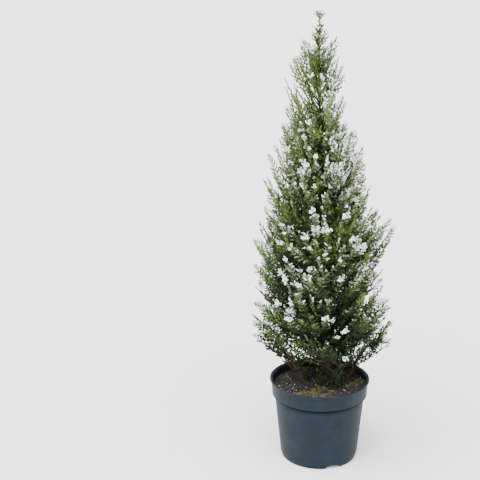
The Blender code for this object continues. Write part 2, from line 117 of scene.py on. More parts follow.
def add(tree, kind, inputs=None, **settings):
    """Adds a node. Each input is given a value or the socket that feeds it."""
    made = tree.nodes.new(kind)
    for name, value in settings.items():
        setattr(made, name, value)
    for socket, value in (inputs or {}).items():
        if isinstance(value, bpy.types.NodeSocket):
            tree.links.new(value, made.inputs[socket])
        else:
            made.inputs[socket].default_value = value
    return made


def new_finish(name, **inputs):
    """A material with its Principled shader's own values set: the tree, shader and coordinates."""
    made = bpy.data.materials.new(name)
    made.use_nodes = True
    shader = made.node_tree.nodes["Principled BSDF"]
    for socket, value in inputs.items():
        shader.inputs[socket.replace("_", " ")].default_value = value
    place = add(made.node_tree, "ShaderNodeTexCoord").outputs["Object"]
    return made, made.node_tree, shader, place


def patches(tree, place, size, low, high, detail=3.0):
    """Noise of a real size in metres, turned into patches by two limits: 0 outside, 1 inside."""
    speckle = {"Vector": place, "Scale": 1 / size, "Detail": detail}
    speckle = add(tree, "ShaderNodeTexNoise", speckle)
    limits = {0: speckle.outputs["Fac"], 1: low, 2: high, 3: 0.0, 4: 1.0}
    return add(tree, "ShaderNodeMapRange", limits, interpolation_type="SMOOTHSTEP").outputs[0]


def mixed(tree, amount, first, second):
    """The colour between two, by an amount: each is a hex code or a socket."""
    colours = [linear(c) if isinstance(c, str) else c for c in (first, second)]
    inputs = {0: amount, 6: colours[0], 7: colours[1]}
    return add(tree, "ShaderNodeMix", inputs, data_type="RGBA").outputs[2]


def relief(tree, shader, height, depth):
    """Bump of a real depth in metres on the shader's normal."""
    bump = add(tree, "ShaderNodeBump", {"Height": height, "Distance": depth, "Strength": 1.0})
    tree.links.new(bump.outputs["Normal"], shader.inputs["Normal"])


def between(tree, value, limits, low, high):
    """A value read as a share of the way between two limits, and turned into a range."""
    inputs = {0: value, 1: limits[0], 2: limits[1], 3: low, 4: high}
    return add(tree, "ShaderNodeMapRange", inputs).outputs[0]


def times(tree, first, second):
    """The product of two values."""
    return add(tree, "ShaderNodeMath", {0: first, 1: second}, operation="MULTIPLY").outputs[0]


def moulded_polypropylene():
    """Satin-matt polypropylene: dusty bloom, upright water marks, pale scuffs, and painted shade
    under the collar, dark and less shiny. Its eggshell grain of 0.2 mm is drawn 0.7 mm wide, so
    that it shows."""
    made, tree, shader, place = new_finish("moulded polypropylene", Roughness=0.58, IOR=1.49)
    bloom = patches(tree, place, 0.030, 0.35, 0.75)
    colour = mixed(tree, bloom, "#03101a", "#061722")
    long_marks = add(tree, "ShaderNodeMapping", {"Vector": place, "Scale": (1.0, 1.0, 0.12)})
    marks = patches(tree, long_marks.outputs["Vector"], 0.004, 0.66, 0.78, 5.0)
    colour = mixed(tree, marks, colour, "#111e24")
    rubbed = patches(tree, place, 0.035, 0.52, 0.66)
    scuffs = patches(tree, place, 0.0018, 0.70, 0.78, 2.0)
    colour = mixed(tree, times(tree, rubbed, scuffs), colour, "#555e63")
    height = add(tree, "ShaderNodeSeparateXYZ", {0: place}).outputs["Z"]
    above = between(tree, height, COLLAR_SHADE_EDGE, 0.0, 1.0)
    painted_collar_shade = times(tree, above, between(tree, height, COLLAR_SHADE_FADE, 0.0, 1.0))
    # painted shade: near-black on the body under the collar, as if in the collar's shadow
    colour = mixed(tree, painted_collar_shade, colour, "#020506")
    tree.links.new(colour, shader.inputs["Base Color"])
    # painted shade: the shine is dulled under the collar too, as if in its shadow
    sheen = between(tree, painted_collar_shade, (0.0, 1.0), 0.20, 0.02)
    tree.links.new(sheen, shader.inputs["Specular IOR Level"])
    grain = add(tree, "ShaderNodeTexNoise", {"Vector": place, "Scale": 1 / 0.0007, "Detail": 2.0})
    relief(tree, shader, grain.outputs["Fac"], 0.00006)
    return made


def rounded(line, radius, steps=4):
    """A line with each of its corners turned into a small arc."""
    out = [line[0]]
    for before, corner, after in zip(line, line[1:], line[2:]):
        cut = min(radius, 0.45 * (before - corner).length, 0.45 * (after - corner).length)
        start = corner + (before - corner).normalized() * cut
        end = corner + (after - corner).normalized() * cut
        for t in (i / steps for i in range(steps + 1)):
            out.append(start.lerp(corner, t).lerp(corner.lerp(end, t), t))
    return [*out, line[-1]]


def turned(line, steps):
    """A solid of revolution about Z: a line of (radius, height) points from axis to axis."""
    bm = bmesh.new()
    verts = [bm.verts.new((radius, 0.0, height)) for radius, height in line]
    edges = [bm.edges.new(pair) for pair in zip(verts, verts[1:])]
    spun = {"axis": (0, 0, 1), "cent": (0, 0, 0), "angle": math.tau, "steps": steps}
    bmesh.ops.spin(bm, geom=verts + edges, use_merge=True, **spun)
    bmesh.ops.remove_doubles(bm, verts=bm.verts, dist=0.00001)
    bmesh.ops.recalc_face_normals(bm, faces=bm.faces)
    return bm


def new_piece(name, bm, finish=None):
    """A mesh piece at the origin, made from a bmesh and shaded smooth but for its sharp edges."""
    mesh = bpy.data.meshes.new(name)
    bm.to_mesh(mesh)
    bm.free()
    piece = bpy.data.objects.new(name, mesh)
    bpy.context.scene.collection.objects.link(piece)
    mesh.shade_smooth()
    mesh.set_sharp_from_angle(angle=math.radians(40))
    if finish:
        mesh.materials.append(finish)
    return piece


def fix(piece, nodes):
    """Rides a piece on the plant's one body, in place of some of its solids."""
    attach(piece, "root")
    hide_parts(*nodes)


def pot_profile():
    """The pot's section, from the middle of its floor over the rim to the middle underneath."""
    floor = FLOOR_UNDERSIDE + POT_WALL
    lip_foot = POT_HEIGHT - RIM_LIP
    inside = [
        (BODY_FOOT[0] - POT_WALL, floor),
        (SHOULDER[0] - POT_WALL, SHOULDER[1]),
        (COLLAR_FOOT[0] - POT_WALL, COLLAR_FOOT[1]),
        (COLLAR_TOP_RADIUS - POT_WALL, lip_foot),
    ]
    outside = [
        (RIM_RADIUS - POT_WALL, POT_HEIGHT),
        (RIM_RADIUS, POT_HEIGHT),
        (RIM_RADIUS, lip_foot),
        (COLLAR_TOP_RADIUS, lip_foot - MOULD_SLOPE),
        COLLAR_FOOT,
        COLLAR_LEDGE,
        (SHOULDER[0] + SHOULDER_STEP, SHOULDER[1]),
        BODY_FOOT,
        (BASE_RADIUS, 0.0),
        (BASE_RADIUS - FOOT_RING_WIDTH, 0.0),
        (BASE_RADIUS - FOOT_RING_WIDTH - MOULD_SLOPE, FLOOR_UNDERSIDE),
    ]
    line = [(0.0, floor), *inside, *outside, (0.0, FLOOR_UNDERSIDE)]
    return rounded([Vector(point) for point in line], EDGE_ROUNDING)


def water_ways():
    """The notches in the foot ring and the drain holes in the floor, as one cutter."""
    bm = bmesh.new()
    below, above = (width / 2 for width in NOTCH_WIDTHS)
    section = ((-below, -0.001), (below, -0.001), (above, NOTCH_HEIGHT), (-above, NOTCH_HEIGHT))
    for azimuth in NOTCH_AZIMUTHS:
        turn = Matrix.Rotation(azimuth, 4, "Z")
        inner, outer = (
            [bm.verts.new(turn @ Vector((BASE_RADIUS + depth, y, z))) for y, z in section]
            for depth in NOTCH_DEPTHS
        )
        for k in range(4):
            bm.faces.new((inner[k], inner[(k + 1) % 4], outer[(k + 1) % 4], outer[k]))
        bm.faces.new(inner)
        bm.faces.new(outer)
    for i in range(DRAIN_COUNT):
        angle = math.tau * (i + 0.5) / DRAIN_COUNT
        centre = Vector((math.cos(angle), math.sin(angle), 0.0)) * DRAIN_CIRCLE
        place = Matrix.Translation(centre + Vector((0, 0, FLOOR_UNDERSIDE)))
        size = {"radius1": DRAIN_RADIUS, "radius2": DRAIN_RADIUS, "depth": 4 * POT_WALL}
        bmesh.ops.create_cone(bm, cap_ends=True, segments=20, matrix=place, **size)
    bmesh.ops.recalc_face_normals(bm, faces=bm.faces)
    return new_piece("water_ways", bm)


def applied(piece):
    """Makes a piece's modifiers part of its mesh."""
    graph = bpy.context.evaluated_depsgraph_get()
    mesh = bpy.data.meshes.new_from_object(piece.evaluated_get(graph))
    piece.modifiers.clear()
    piece.data = mesh


pot = new_piece("moulded_pot", turned(pot_profile(), POT_STEPS), moulded_polypropylene())
cutter = water_ways()
cut = pot.modifiers.new("water ways", "BOOLEAN")
cut.operation = "DIFFERENCE"
cut.object = cutter
applied(pot)
bpy.data.objects.remove(cutter)
pot.data.shade_smooth()
pot.data.set_sharp_from_angle(angle=math.radians(40))
fix(pot, ["pot"])


# The soil: moist peat compost that fills the pot to the collar, level round the stems, a little
# higher in front and rough. Crumbs of peat and bark lie on it, with grains of white perlite,
# cushions of moss and a few fallen leaves.
SOIL_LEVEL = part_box("trunk")[0].z - 0.0003
SOIL_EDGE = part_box("soil")[1].x
SOIL_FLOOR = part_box("soil")[0].z
SOIL_FLAT_RADIUS = 0.062
SOIL_RISE = 0.005
SOIL_RISE_AZIMUTH = math.radians(-70)
SOIL_SETTLING = 0.0006
# How high and how wide its lumps and its grit are
SOIL_LUMPS = (0.0022, 0.016)
SOIL_GRIT = (0.0012, 0.005)
SOIL_GAP = 0.0004
SOIL_WALL_GAP = 0.001
SOIL_RINGS = 44
SOIL_STEPS = 150
STREWN_RADIUS = SOIL_EDGE - 0.002
CRUMB_COUNT = 3600
CRUMB_WIDTH = 0.0014
CRUMB_EXTRA_WIDTH = 0.0034
PERLITE_COUNT = 460
PERLITE_CENTRE = (-0.062, -0.012)
PERLITE_SPREADS = (0.018, 0.060)
PERLITE_NEAR_SHARE = 0.25
PERLITE_WIDTH = 0.0005
PERLITE_EXTRA_WIDTH = 0.0012
# Moss grows in cushions: each one's middle, its radius and its count of shoots
MOSS_PATCHES = (
    ((-0.046, -0.060), 0.010, 110),
    ((-0.034, -0.050), 0.010, 130),
    ((-0.020, -0.057), 0.012, 190),
    ((-0.010, -0.041), 0.012, 210),
    ((0.006, -0.060), 0.011, 180),
    ((0.004, -0.030), 0.009, 120),
    ((0.020, -0.048), 0.008, 90),
    ((-0.004, -0.020), 0.006, 50),
    ((0.052, -0.024), 0.009, 110),
    ((0.066, -0.012), 0.010, 130),
    ((0.076, 0.002), 0.007, 60),
    ((-0.066, 0.030), 0.010, 110),
    ((0.020, 0.066), 0.012, 130),
)
MOSS_DOME = 0.003
MOSS_SHOOTS = 6
MOSS_HEIGHTS = (0.0016, 0.0036)
LITTER_COUNT = 420
LITTER_AZIMUTH = math.radians(-92)
LITTER_SIZES = (0.0016, 0.0045)


def soil_height(x, y):
    """The soil's surface: level in the middle, rising to the front wall, with lumps and pits."""
    radius = math.hypot(x, y)
    share = max(0.0, (radius - SOIL_FLAT_RADIUS) / (SOIL_EDGE - SOIL_FLAT_RADIUS))
    rise = share * SOIL_RISE * math.cos(math.atan2(y, x) - SOIL_RISE_AZIMUTH)
    lumps = SOIL_LUMPS[0] * noise.noise(Vector((x, y, 0.3)) / SOIL_LUMPS[1])
    grit = SOIL_GRIT[0] * noise.noise(Vector((x, y, 2.0)) / SOIL_GRIT[1])
    return SOIL_LEVEL + rise + lumps + grit - SOIL_SETTLING


def around(radius, angle):
    """Across and back of a place round the pot's axis."""
    return radius * math.cos(angle), radius * math.sin(angle)


def soil_ring(bm, radius, height=None):
    """A ring of vertices round the pot's axis: at a height, or else on the soil's surface."""
    ring = []
    for k in range(SOIL_STEPS):
        x, y = around(radius, math.tau * k / SOIL_STEPS)
        ring.append(bm.verts.new((x, y, soil_height(x, y) if height is None else height)))
    return ring


def soil_body():
    """The soil's solid: its rough top, its wall against the pot, and its underside."""
    bm = bmesh.new()
    middle = bm.verts.new((0.0, 0.0, soil_height(0.0, 0.0)))
    reach = SOIL_EDGE - SOIL_GAP
    rings = [soil_ring(bm, reach * r / SOIL_RINGS) for r in range(1, SOIL_RINGS + 1)]
    for radius, height in (SHOULDER, (BODY_FOOT[0], SOIL_FLOOR)):
        rings.append(soil_ring(bm, radius - POT_WALL - SOIL_WALL_GAP, height))
    for inner, outer in zip(rings, rings[1:]):
        for k in range(SOIL_STEPS):
            n = (k + 1) % SOIL_STEPS
            bm.faces.new((inner[k], outer[k], outer[n], inner[n]))
    for k in range(SOIL_STEPS):
        bm.faces.new((middle, rings[0][k], rings[0][(k + 1) % SOIL_STEPS]))
    bm.faces.new(list(reversed(rings[-1])))
    bmesh.ops.recalc_face_normals(bm, faces=bm.faces)
    return bm


def peat_compost(name, dark, light):
    """Damp peat: near-black fibre with rusty flecks of bark, darker where it is wet, dull all
    over. Its fibres of 0.3 mm are drawn 1.2 mm wide, so that they show."""
    made, tree, shader, place = new_finish(name, Roughness=0.92)
    flecks = patches(tree, place, 0.0018, 0.50, 0.70, 4.0)
    colour = mixed(tree, flecks, dark, light)
    damp = patches(tree, place, 0.014, 0.35, 0.65)
    colour = mixed(tree, damp, colour, "#0b0706")
    tree.links.new(colour, shader.inputs["Base Color"])
    fibre = add(tree, "ShaderNodeTexNoise", {"Vector": place, "Scale": 1 / 0.0012, "Detail": 6.0})
    relief(tree, shader, fibre.outputs["Fac"], 0.0008)
    return made


def expanded_perlite():
    """Expanded perlite: chalky white, pitted grains."""
    made, tree, shader, place = new_finish("expanded perlite", Roughness=0.85)
    stain = patches(tree, place, 0.0015, 0.40, 0.75)
    tree.links.new(mixed(tree, stain, "#d8d6cf", "#a9a196"), shader.inputs["Base Color"])
    pits = add(tree, "ShaderNodeTexVoronoi", {"Vector": place, "Scale": 1 / 0.0007})
    relief(tree, shader, pits.outputs["Distance"], 0.0003)
    return made


def cushion_moss():
    """Cushion moss: yellow-green shoots, browner where they are dry."""
    made, tree, shader, place = new_finish("cushion moss", Roughness=0.75)
    dry = patches(tree, place, 0.006, 0.42, 0.62)
    tree.links.new(mixed(tree, dry, "#565e2b", "#4e4024"), shader.inputs["Base Color"])
    return made


def fallen_leaves():
    """Fallen scale leaves and bark threads: dry, from pinkish straw to red-brown."""
    made, tree, shader, place = new_finish("fallen leaves", Roughness=0.85)
    old = patches(tree, place, 0.008, 0.40, 0.60)
    tree.links.new(mixed(tree, old, "#644e43", "#3a2117"), shader.inputs["Base Color"])
    return made


def shape_set(name, shapes):
    """A collection of small shapes out of the scene, for a tree to deal out."""
    made = bpy.data.collections.new(name)
    for i, bm in enumerate(shapes):
        mesh = bpy.data.meshes.new(f"{name} {i:02d}")
        bm.to_mesh(mesh)
        bm.free()
        made.objects.link(bpy.data.objects.new(f"{name} {i:02d}", mesh))
    return made


def dealing_tree():
    """Geometry Nodes: puts the shape of each point's kind on it, turned and sized by the point."""
    tree = bpy.data.node_groups.new("deal shapes out", "GeometryNodeTree")
    face = tree.interface
    face.new_socket("Points", in_out="INPUT", socket_type="NodeSocketGeometry")
    face.new_socket("Shapes", in_out="INPUT", socket_type="NodeSocketCollection")
    face.new_socket("Finish", in_out="INPUT", socket_type="NodeSocketMaterial")
    face.new_socket("Pieces", in_out="OUTPUT", socket_type="NodeSocketGeometry")
    given = add(tree, "NodeGroupInput").outputs
    kind = add(tree, "GeometryNodeInputNamedAttribute", {"Name": "kind"}, data_type="INT")
    turn = add(tree, "GeometryNodeInputNamedAttribute", {"Name": "turn"}, data_type="FLOAT_VECTOR")
    size = add(tree, "GeometryNodeInputNamedAttribute", {"Name": "size"}, data_type="FLOAT_VECTOR")
    turn = add(tree, "FunctionNodeEulerToRotation", {0: turn.outputs[0]})
    picks = {"Collection": given["Shapes"], "Separate Children": True, "Reset Children": True}
    shapes = add(tree, "GeometryNodeCollectionInfo", picks)
    dealt = add(tree, "GeometryNodeInstanceOnPoints", {
        "Points": given["Points"],
        "Instance": shapes.outputs[0],
        "Pick Instance": True,
        "Instance Index": kind.outputs[0],
        "Rotation": turn.outputs[0],
        "Scale": size.outputs[0],
    })
    real = add(tree, "GeometryNodeRealizeInstances", {"Geometry": dealt.outputs[0]})
    done = {"Geometry": real.outputs[0], "Material": given["Finish"]}
    done = add(tree, "GeometryNodeSetMaterial", done)
    add(tree, "NodeGroupOutput", {0: done.outputs[0]})
    return tree


DEALING = dealing_tree()


def point_cloud(name, places, edges=(), **values):
    """Loose vertices, or lines of them, that carry a value each for a tree to read."""
    mesh = bpy.data.meshes.new(name)
    mesh.from_pydata([tuple(place) for place in places], list(edges), [])
    for label, given in values.items():
        given = np.array(given)
        kind = "INT" if given.dtype.kind == "i" else "FLOAT_VECTOR" if given.ndim == 2 else "FLOAT"
        layer = mesh.attributes.new(label, kind, "POINT")
        layer.data.foreach_set("vector" if given.ndim == 2 else "value", given.ravel())
    piece = bpy.data.objects.new(name, mesh)
    bpy.context.scene.collection.objects.link(piece)
    return piece


def made_by(tree, piece, **inputs):
    """Runs a Geometry Nodes tree on a piece and keeps the plain mesh that comes out."""
    modifier = piece.modifiers.new(tree.name, "NODES")
    modifier.node_group = tree
    for socket in tree.interface.items_tree:
        if socket.in_out == "INPUT" and socket.name in inputs:
            modifier[socket.identifier] = inputs[socket.name]
    applied(piece)
    for layer in ("kind", "turn", "size", "width"):
        if layer in piece.data.attributes:
            piece.data.attributes.remove(piece.data.attributes[layer])
    return piece


def dealt_out(name, spots, shapes, finish):
    """Deals shapes out over spots, each a place, a turn, a size and a kind, as one plain mesh."""
    places, turns, sizes, kinds = zip(*spots)
    cloud = point_cloud(name, places, turn=turns, size=sizes, kind=kinds)
    return made_by(DEALING, cloud, Shapes=shapes, Finish=finish)


def any_turn(rng):
    """A random turn about each axis."""
    return [rng.uniform(0, math.tau) for _ in range(3)]


def lump(rng, rough):
    """An uneven lump about one unit across, as a bmesh."""
    bm = bmesh.new()
    bmesh.ops.create_icosphere(bm, subdivisions=1, radius=0.5)
    shift = Vector((rng.uniform(0, 9), rng.uniform(0, 9), rng.uniform(0, 9)))
    for vert in bm.verts:
        vert.co *= 1.0 + rough * noise.noise(vert.co * 3.0 + shift)
    return bm


def leaf_blade(bm, root, tip, side, up, width, thickness):
    """A pointed scale-leaved shoot: a thin closed blade of four faces."""
    middle = root.lerp(tip, 0.42) + up * thickness
    left, right = middle - side * width / 2, middle + side * width / 2
    verts = [bm.verts.new(place) for place in (root, tip, left, right)]
    for a, b, c in ((0, 1, 2), (0, 3, 1), (0, 2, 3), (1, 3, 2)):
        bm.faces.new((verts[a], verts[b], verts[c]))


def moss_tuft(rng):
    """A few moss shoots from one root, as a bmesh one unit high."""
    bm = bmesh.new()
    for i in range(MOSS_SHOOTS):
        angle = math.tau * i / MOSS_SHOOTS + rng.uniform(-0.4, 0.4)
        lean = rng.uniform(0.15, 0.75)
        out = Vector((math.cos(angle), math.sin(angle), 0.0))
        tip = (out * lean + Vector((0, 0, 1))) * rng.uniform(0.6, 1.0)
        leaf_blade(bm, out * 0.05, tip, out.cross(Vector((0, 0, 1))), out, 0.26, 0.08)
    return bm


peat = peat_compost("peat compost", "#090605", "#20170f")
soil = new_piece("compost", soil_body(), peat)
fix(soil, ["soil"])

rng = random.Random(11)
spots = []
for i in range(CRUMB_COUNT):
    radius = STREWN_RADIUS * math.sqrt(rng.random())
    x, y = around(radius, rng.uniform(0, math.tau))
    width = CRUMB_WIDTH + CRUMB_EXTRA_WIDTH * rng.random() ** 3
    turn = any_turn(rng)
    size = [width * rng.uniform(0.6, 1.5), width, width * rng.uniform(0.5, 0.9)]
    spots.append(((x, y, soil_height(x, y) + width * 0.22), turn, size, i % 4))
crumb_shapes = shape_set("crumb", [lump(rng, 1.1) for _ in range(4)])
bark_peat = peat_compost("bark crumbs", "#0d0906", "#38281c")
fix(dealt_out("compost_crumbs", spots, crumb_shapes, bark_peat), ["soil"])

# A quarter of the perlite lies where it was spilt, at the left, and the rest all over
spots = []
while len(spots) < PERLITE_COUNT:
    spilt = len(spots) < PERLITE_NEAR_SHARE * PERLITE_COUNT
    x, y = (rng.gauss(c if spilt else 0.0, PERLITE_SPREADS[not spilt]) for c in PERLITE_CENTRE)
    if math.hypot(x, y) > SOIL_EDGE - 0.003:
        continue
    width = PERLITE_WIDTH + PERLITE_EXTRA_WIDTH * rng.random() ** 3
    place = x, y, soil_height(x, y) + width * 0.3
    spots.append((place, any_turn(rng), [width * rng.uniform(0.8, 1.2)] * 3, len(spots) % 3))
perlite_shapes = shape_set("perlite", [lump(rng, 0.5) for _ in range(3)])
fix(dealt_out("perlite_grains", spots, perlite_shapes, expanded_perlite()), ["soil"])

spots = []
for (middle_x, middle_y), spread, count in MOSS_PATCHES:
    for i in range(count):
        radius = spread * math.sqrt(rng.random())
        x, y = around(radius, rng.uniform(0, math.tau))
        x, y = middle_x + x, middle_y + y
        if math.hypot(x, y) > STREWN_RADIUS:
            continue
        if noise.noise(Vector((x, y, 5.0)) / 0.004) < -0.02:
            continue
        dome = MOSS_DOME * (1.0 - (radius / spread) ** 2)
        place = x, y, soil_height(x, y) + dome * rng.uniform(0.2, 1.0)
        turn = [rng.uniform(-0.5, 0.5), rng.uniform(-0.5, 0.5), rng.uniform(0, math.tau)]
        spots.append((place, turn, [rng.uniform(*MOSS_HEIGHTS)] * 3, i % 4))
moss_shapes = shape_set("moss tuft", [moss_tuft(rng) for _ in range(4)])
fix(dealt_out("moss_cushions", spots, moss_shapes, cushion_moss()), ["soil"])

# Two fifths of the litter lies in front, and three fifths of it near the pot's wall
spots = []
for i in range(LITTER_COUNT):
    in_front = rng.random() < 0.4
    angle = rng.gauss(LITTER_AZIMUTH, 0.30) if in_front else rng.uniform(0, math.tau)
    share = rng.uniform(0.55, 1.0) if rng.random() < 0.6 else rng.random()
    x, y = around(STREWN_RADIUS * math.sqrt(share), angle)
    turn = [math.pi / 2 + rng.gauss(0, 0.25), rng.gauss(0, 0.3), rng.uniform(0, math.tau)]
    size = [rng.uniform(*LITTER_SIZES)] * 3
    spots.append(((x, y, soil_height(x, y) + 0.0010), turn, size, i % 4))
fix(dealt_out("fallen_leaves", spots, moss_shapes, fallen_leaves()), ["soil"])


# The trunk and boughs: living wood under thin red-brown bark that peels in upright fibres.
# One leader runs from the soil to the tip. Side stems leave the soil beside it, and boughs
# leave it all the way up, growing outwards and then more and more upwards.
TRUNK_FOOT = (0.022, 0.012)
TRUNK_HEAD = (-0.009, 0.0)
TRUNK_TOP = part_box("trunk")[1].z
TRUNK_SWAY = 0.0025
TRUNK_RADII = (0.0080, 0.0008)
TRUNK_TAPER = 0.9
ROOT_FLARE = (0.0035, 0.010)
PLANT_TOP = cad_high.z
# A limb that leaves the trunk at the height a is at a * (1 + CLIMB * r + BEND * r * r) at the
# distance r from it, so no two limbs cross
CLIMB = 2.0
BEND = 14.0
# The crown's outline: a height, and how far the crown reaches there at the left and the right
CROWN_PROFILE = (
    (0.165, 0.096, 0.096),
    (0.205, 0.132, 0.124),
    (0.240, 0.130, 0.129),
    (0.280, 0.130, 0.116),
    (0.320, 0.136, 0.110),
    (0.355, 0.128, 0.122),
    (0.380, 0.121, 0.140),
    (0.420, 0.118, 0.118),
    (0.460, 0.106, 0.104),
    (0.500, 0.088, 0.080),
    (0.540, 0.088, 0.077),
    (0.580, 0.085, 0.074),
    (0.620, 0.073, 0.070),
    (0.640, 0.068, 0.040),
    (0.660, 0.062, 0.034),
    (0.690, 0.053, 0.042),
    (0.730, 0.051, 0.043),
    (0.765, 0.050, 0.040),
    (0.795, 0.026, 0.028),
    (0.820, 0.016, 0.016),
    (0.843, 0.007, 0.007),
)
LOBE_DEPTH = 0.07
LOBE_COUNT = 3
# Tiers of foliage, bottom up: the height each starts at on the trunk, its masses, the azimuth of
# the first in degrees, the plumes of each mass and how long they are
TIERS = (
    (0.140, 4, 192, 36, 0.076),
    (0.192, 5, 178, 38, 0.088),
    (0.244, 5, 216, 38, 0.094),
    (0.302, 4, 185, 44, 0.096),
    (0.370, 4, 222, 42, 0.092),
    (0.450, 3, 230, 46, 0.084),
    (0.540, 3, 180, 42, 0.074),
    (0.625, 2, 200, 42, 0.066),
    (0.750, 1, 90, 15, 0.056),
)
TIER_TOP = 0.850
# How far up its tier each bough leaves the trunk
FOOT_SHARES = (0.35, 0.4, 0.4, 0.4, 0.35, 0.2, 0.15, 0.1, 0.1)
SIDE_STEM_OFFSETS = (0.046, 0.034, 0.029, 0.036)
SIDE_STEM_RADIUS = 0.0042
BOUGH_RADII = (0.0030, 0.0010)
BOUGH_SHARE = 0.74
BOUGH_THINNING = 0.05
LEAST_BOUGH = 0.012
BOUGH_POINTS = 9
FLARE_POINTS = 9
FLARE_STEP = 0.004
STEM_POINTS = 60
STEM_DEPTH = 0.002


def blend(a, b, share):
    """The value a share of the way from one to another."""
    return a + (b - a) * share


def eased(share):
    """A share that starts and ends slowly."""
    return share * share * (3.0 - 2.0 * share)


def trunk_centre(height):
    """The middle of the trunk at a height."""
    share = min(1.0, max(0.0, (height - SOIL_LEVEL) / (TRUNK_TOP - SOIL_LEVEL)))
    back = (1.0 - share) ** 2
    sway = TRUNK_SWAY * math.sin(math.tau * share)
    x = blend(TRUNK_HEAD[0], TRUNK_FOOT[0], back) - sway
    y = blend(TRUNK_HEAD[1], TRUNK_FOOT[1], back) + sway
    return Vector((x, y, height))


def trunk_radius(height):
    """The trunk's radius at a height, with the root flare at its foot."""
    share = min(1.0, max(0.0, (height - SOIL_LEVEL) / (TRUNK_TOP - SOIL_LEVEL)))
    taper = blend(TRUNK_RADII[1], TRUNK_RADII[0], (1.0 - share) ** TRUNK_TAPER)
    return taper + ROOT_FLARE[0] * math.exp(-max(0.0, height - SOIL_LEVEL) / ROOT_FLARE[1])


def climb_factor(reach):
    """How many times its starting height a limb has climbed to, at a distance from the trunk."""
    return 1.0 + CLIMB * reach + BEND * reach * reach


def level(azimuth):
    """The level direction of an azimuth."""
    return Vector((math.cos(azimuth), math.sin(azimuth), 0.0))


def limb_point(start, azimuth, reach):
    """Where a limb that leaves the trunk at the height start is, at a distance from the trunk."""
    return trunk_centre(start * climb_factor(reach)) + level(azimuth) * reach


def crown_reach(height, azimuth):
    """How far from the trunk the crown reaches at a height, with shallow lobes round it."""
    left, right = CROWN_PROFILE[0][1:]
    for lower, upper in zip(CROWN_PROFILE, CROWN_PROFILE[1:]):
        if height > lower[0]:
            share = min(1.0, (height - lower[0]) / (upper[0] - lower[0]))
            left, right = blend(lower[1], upper[1], share), blend(lower[2], upper[2], share)
    reach = blend(left, right, 0.5 + 0.5 * math.cos(azimuth))
    lobe = math.sin(LOBE_COUNT * azimuth + 19.0 * height) * math.sin(31.0 * height + azimuth)
    return reach * (1.0 + LOBE_DEPTH * lobe)


def limb_end(start, azimuth, share):
    """The distance at which a limb has gone a share of the way out to the crown's outline."""
    reach = 0.0
    while reach < share * crown_reach(start * climb_factor(reach), azimuth):
        reach += 0.0005
    return reach


def bark_tube(bm, points, radii, sides, flutes=0.10, rings_each=3):
    """Adds a limb with fluted, fibrous bark, its foot and tip closed, to a bmesh."""
    fine = []
    steps = [i / rings_each for i in range(rings_each)]
    for (a, b), (ra, rb) in zip(zip(points, points[1:]), zip(radii, radii[1:])):
        fine += [(a.lerp(b, t), blend(ra, rb, t)) for t in steps]
    fine.append((points[-1], radii[-1]))
    side, rings = None, []
    for i, (point, radius) in enumerate(fine):
        along = (fine[min(len(fine) - 1, i + 1)][0] - fine[max(0, i - 1)][0]).normalized()
        side = along.orthogonal() if side is None else side
        side = (side - along * side.dot(along)).normalized()
        up = along.cross(side)
        ring = []
        for k in range(sides):
            angle = math.tau * k / sides
            out = math.cos(angle) * side + math.sin(angle) * up
            strip = noise.noise(Vector((out.x * 2.6, out.y * 2.6, point.z * 22 + out.z)))
            fibre = noise.noise(Vector((out.x * 7.0, out.y * 7.0, point.z * 60)))
            rough = 1.0 + flutes * (1.5 * strip + fibre)
            ring.append(bm.verts.new(point + out * radius * rough))
        rings.append(ring)
    for lower, upper in zip(rings, rings[1:]):
        for k in range(sides):
            bm.faces.new((lower[k], lower[(k + 1) % sides], upper[(k + 1) % sides], upper[k]))
    bm.faces.new(list(reversed(rings[0])))
    bm.faces.new(rings[-1])


def cypress_bark():
    """Young cypress bark: thin red-brown strips over grey, in fine upright fibres. They are
    0.3 mm wide, and are drawn 1.1 mm wide, so that they show."""
    made, tree, shader, place = new_finish("peeling cypress bark", Roughness=0.88)
    upright = add(tree, "ShaderNodeMapping", {"Vector": place, "Scale": (1.0, 1.0, 0.10)})
    strips = patches(tree, upright.outputs["Vector"], 0.0025, 0.38, 0.66, 4.0)
    colour = mixed(tree, strips, "#170f0a", "#372518")
    worn = patches(tree, place, 0.012, 0.45, 0.70)
    colour = mixed(tree, worn, colour, "#211a14")
    tree.links.new(colour, shader.inputs["Base Color"])
    fibre = {"Vector": upright.outputs["Vector"], "Scale": 1 / 0.0011, "Detail": 5.0}
    fibre = add(tree, "ShaderNodeTexNoise", fibre)
    relief(tree, shader, fibre.outputs["Fac"], 0.0007)
    return made


bark = cypress_bark()
heights = [SOIL_LEVEL - STEM_DEPTH + FLARE_STEP * i for i in range(FLARE_POINTS)]
heights += [blend(heights[-1], TRUNK_TOP, (i + 1) / STEM_POINTS) for i in range(STEM_POINTS)]
bm = bmesh.new()
bark_tube(bm, [trunk_centre(h) for h in heights], [trunk_radius(h) for h in heights], 20)
fix(new_piece("trunk_bark", bm, bark), ["trunk"])


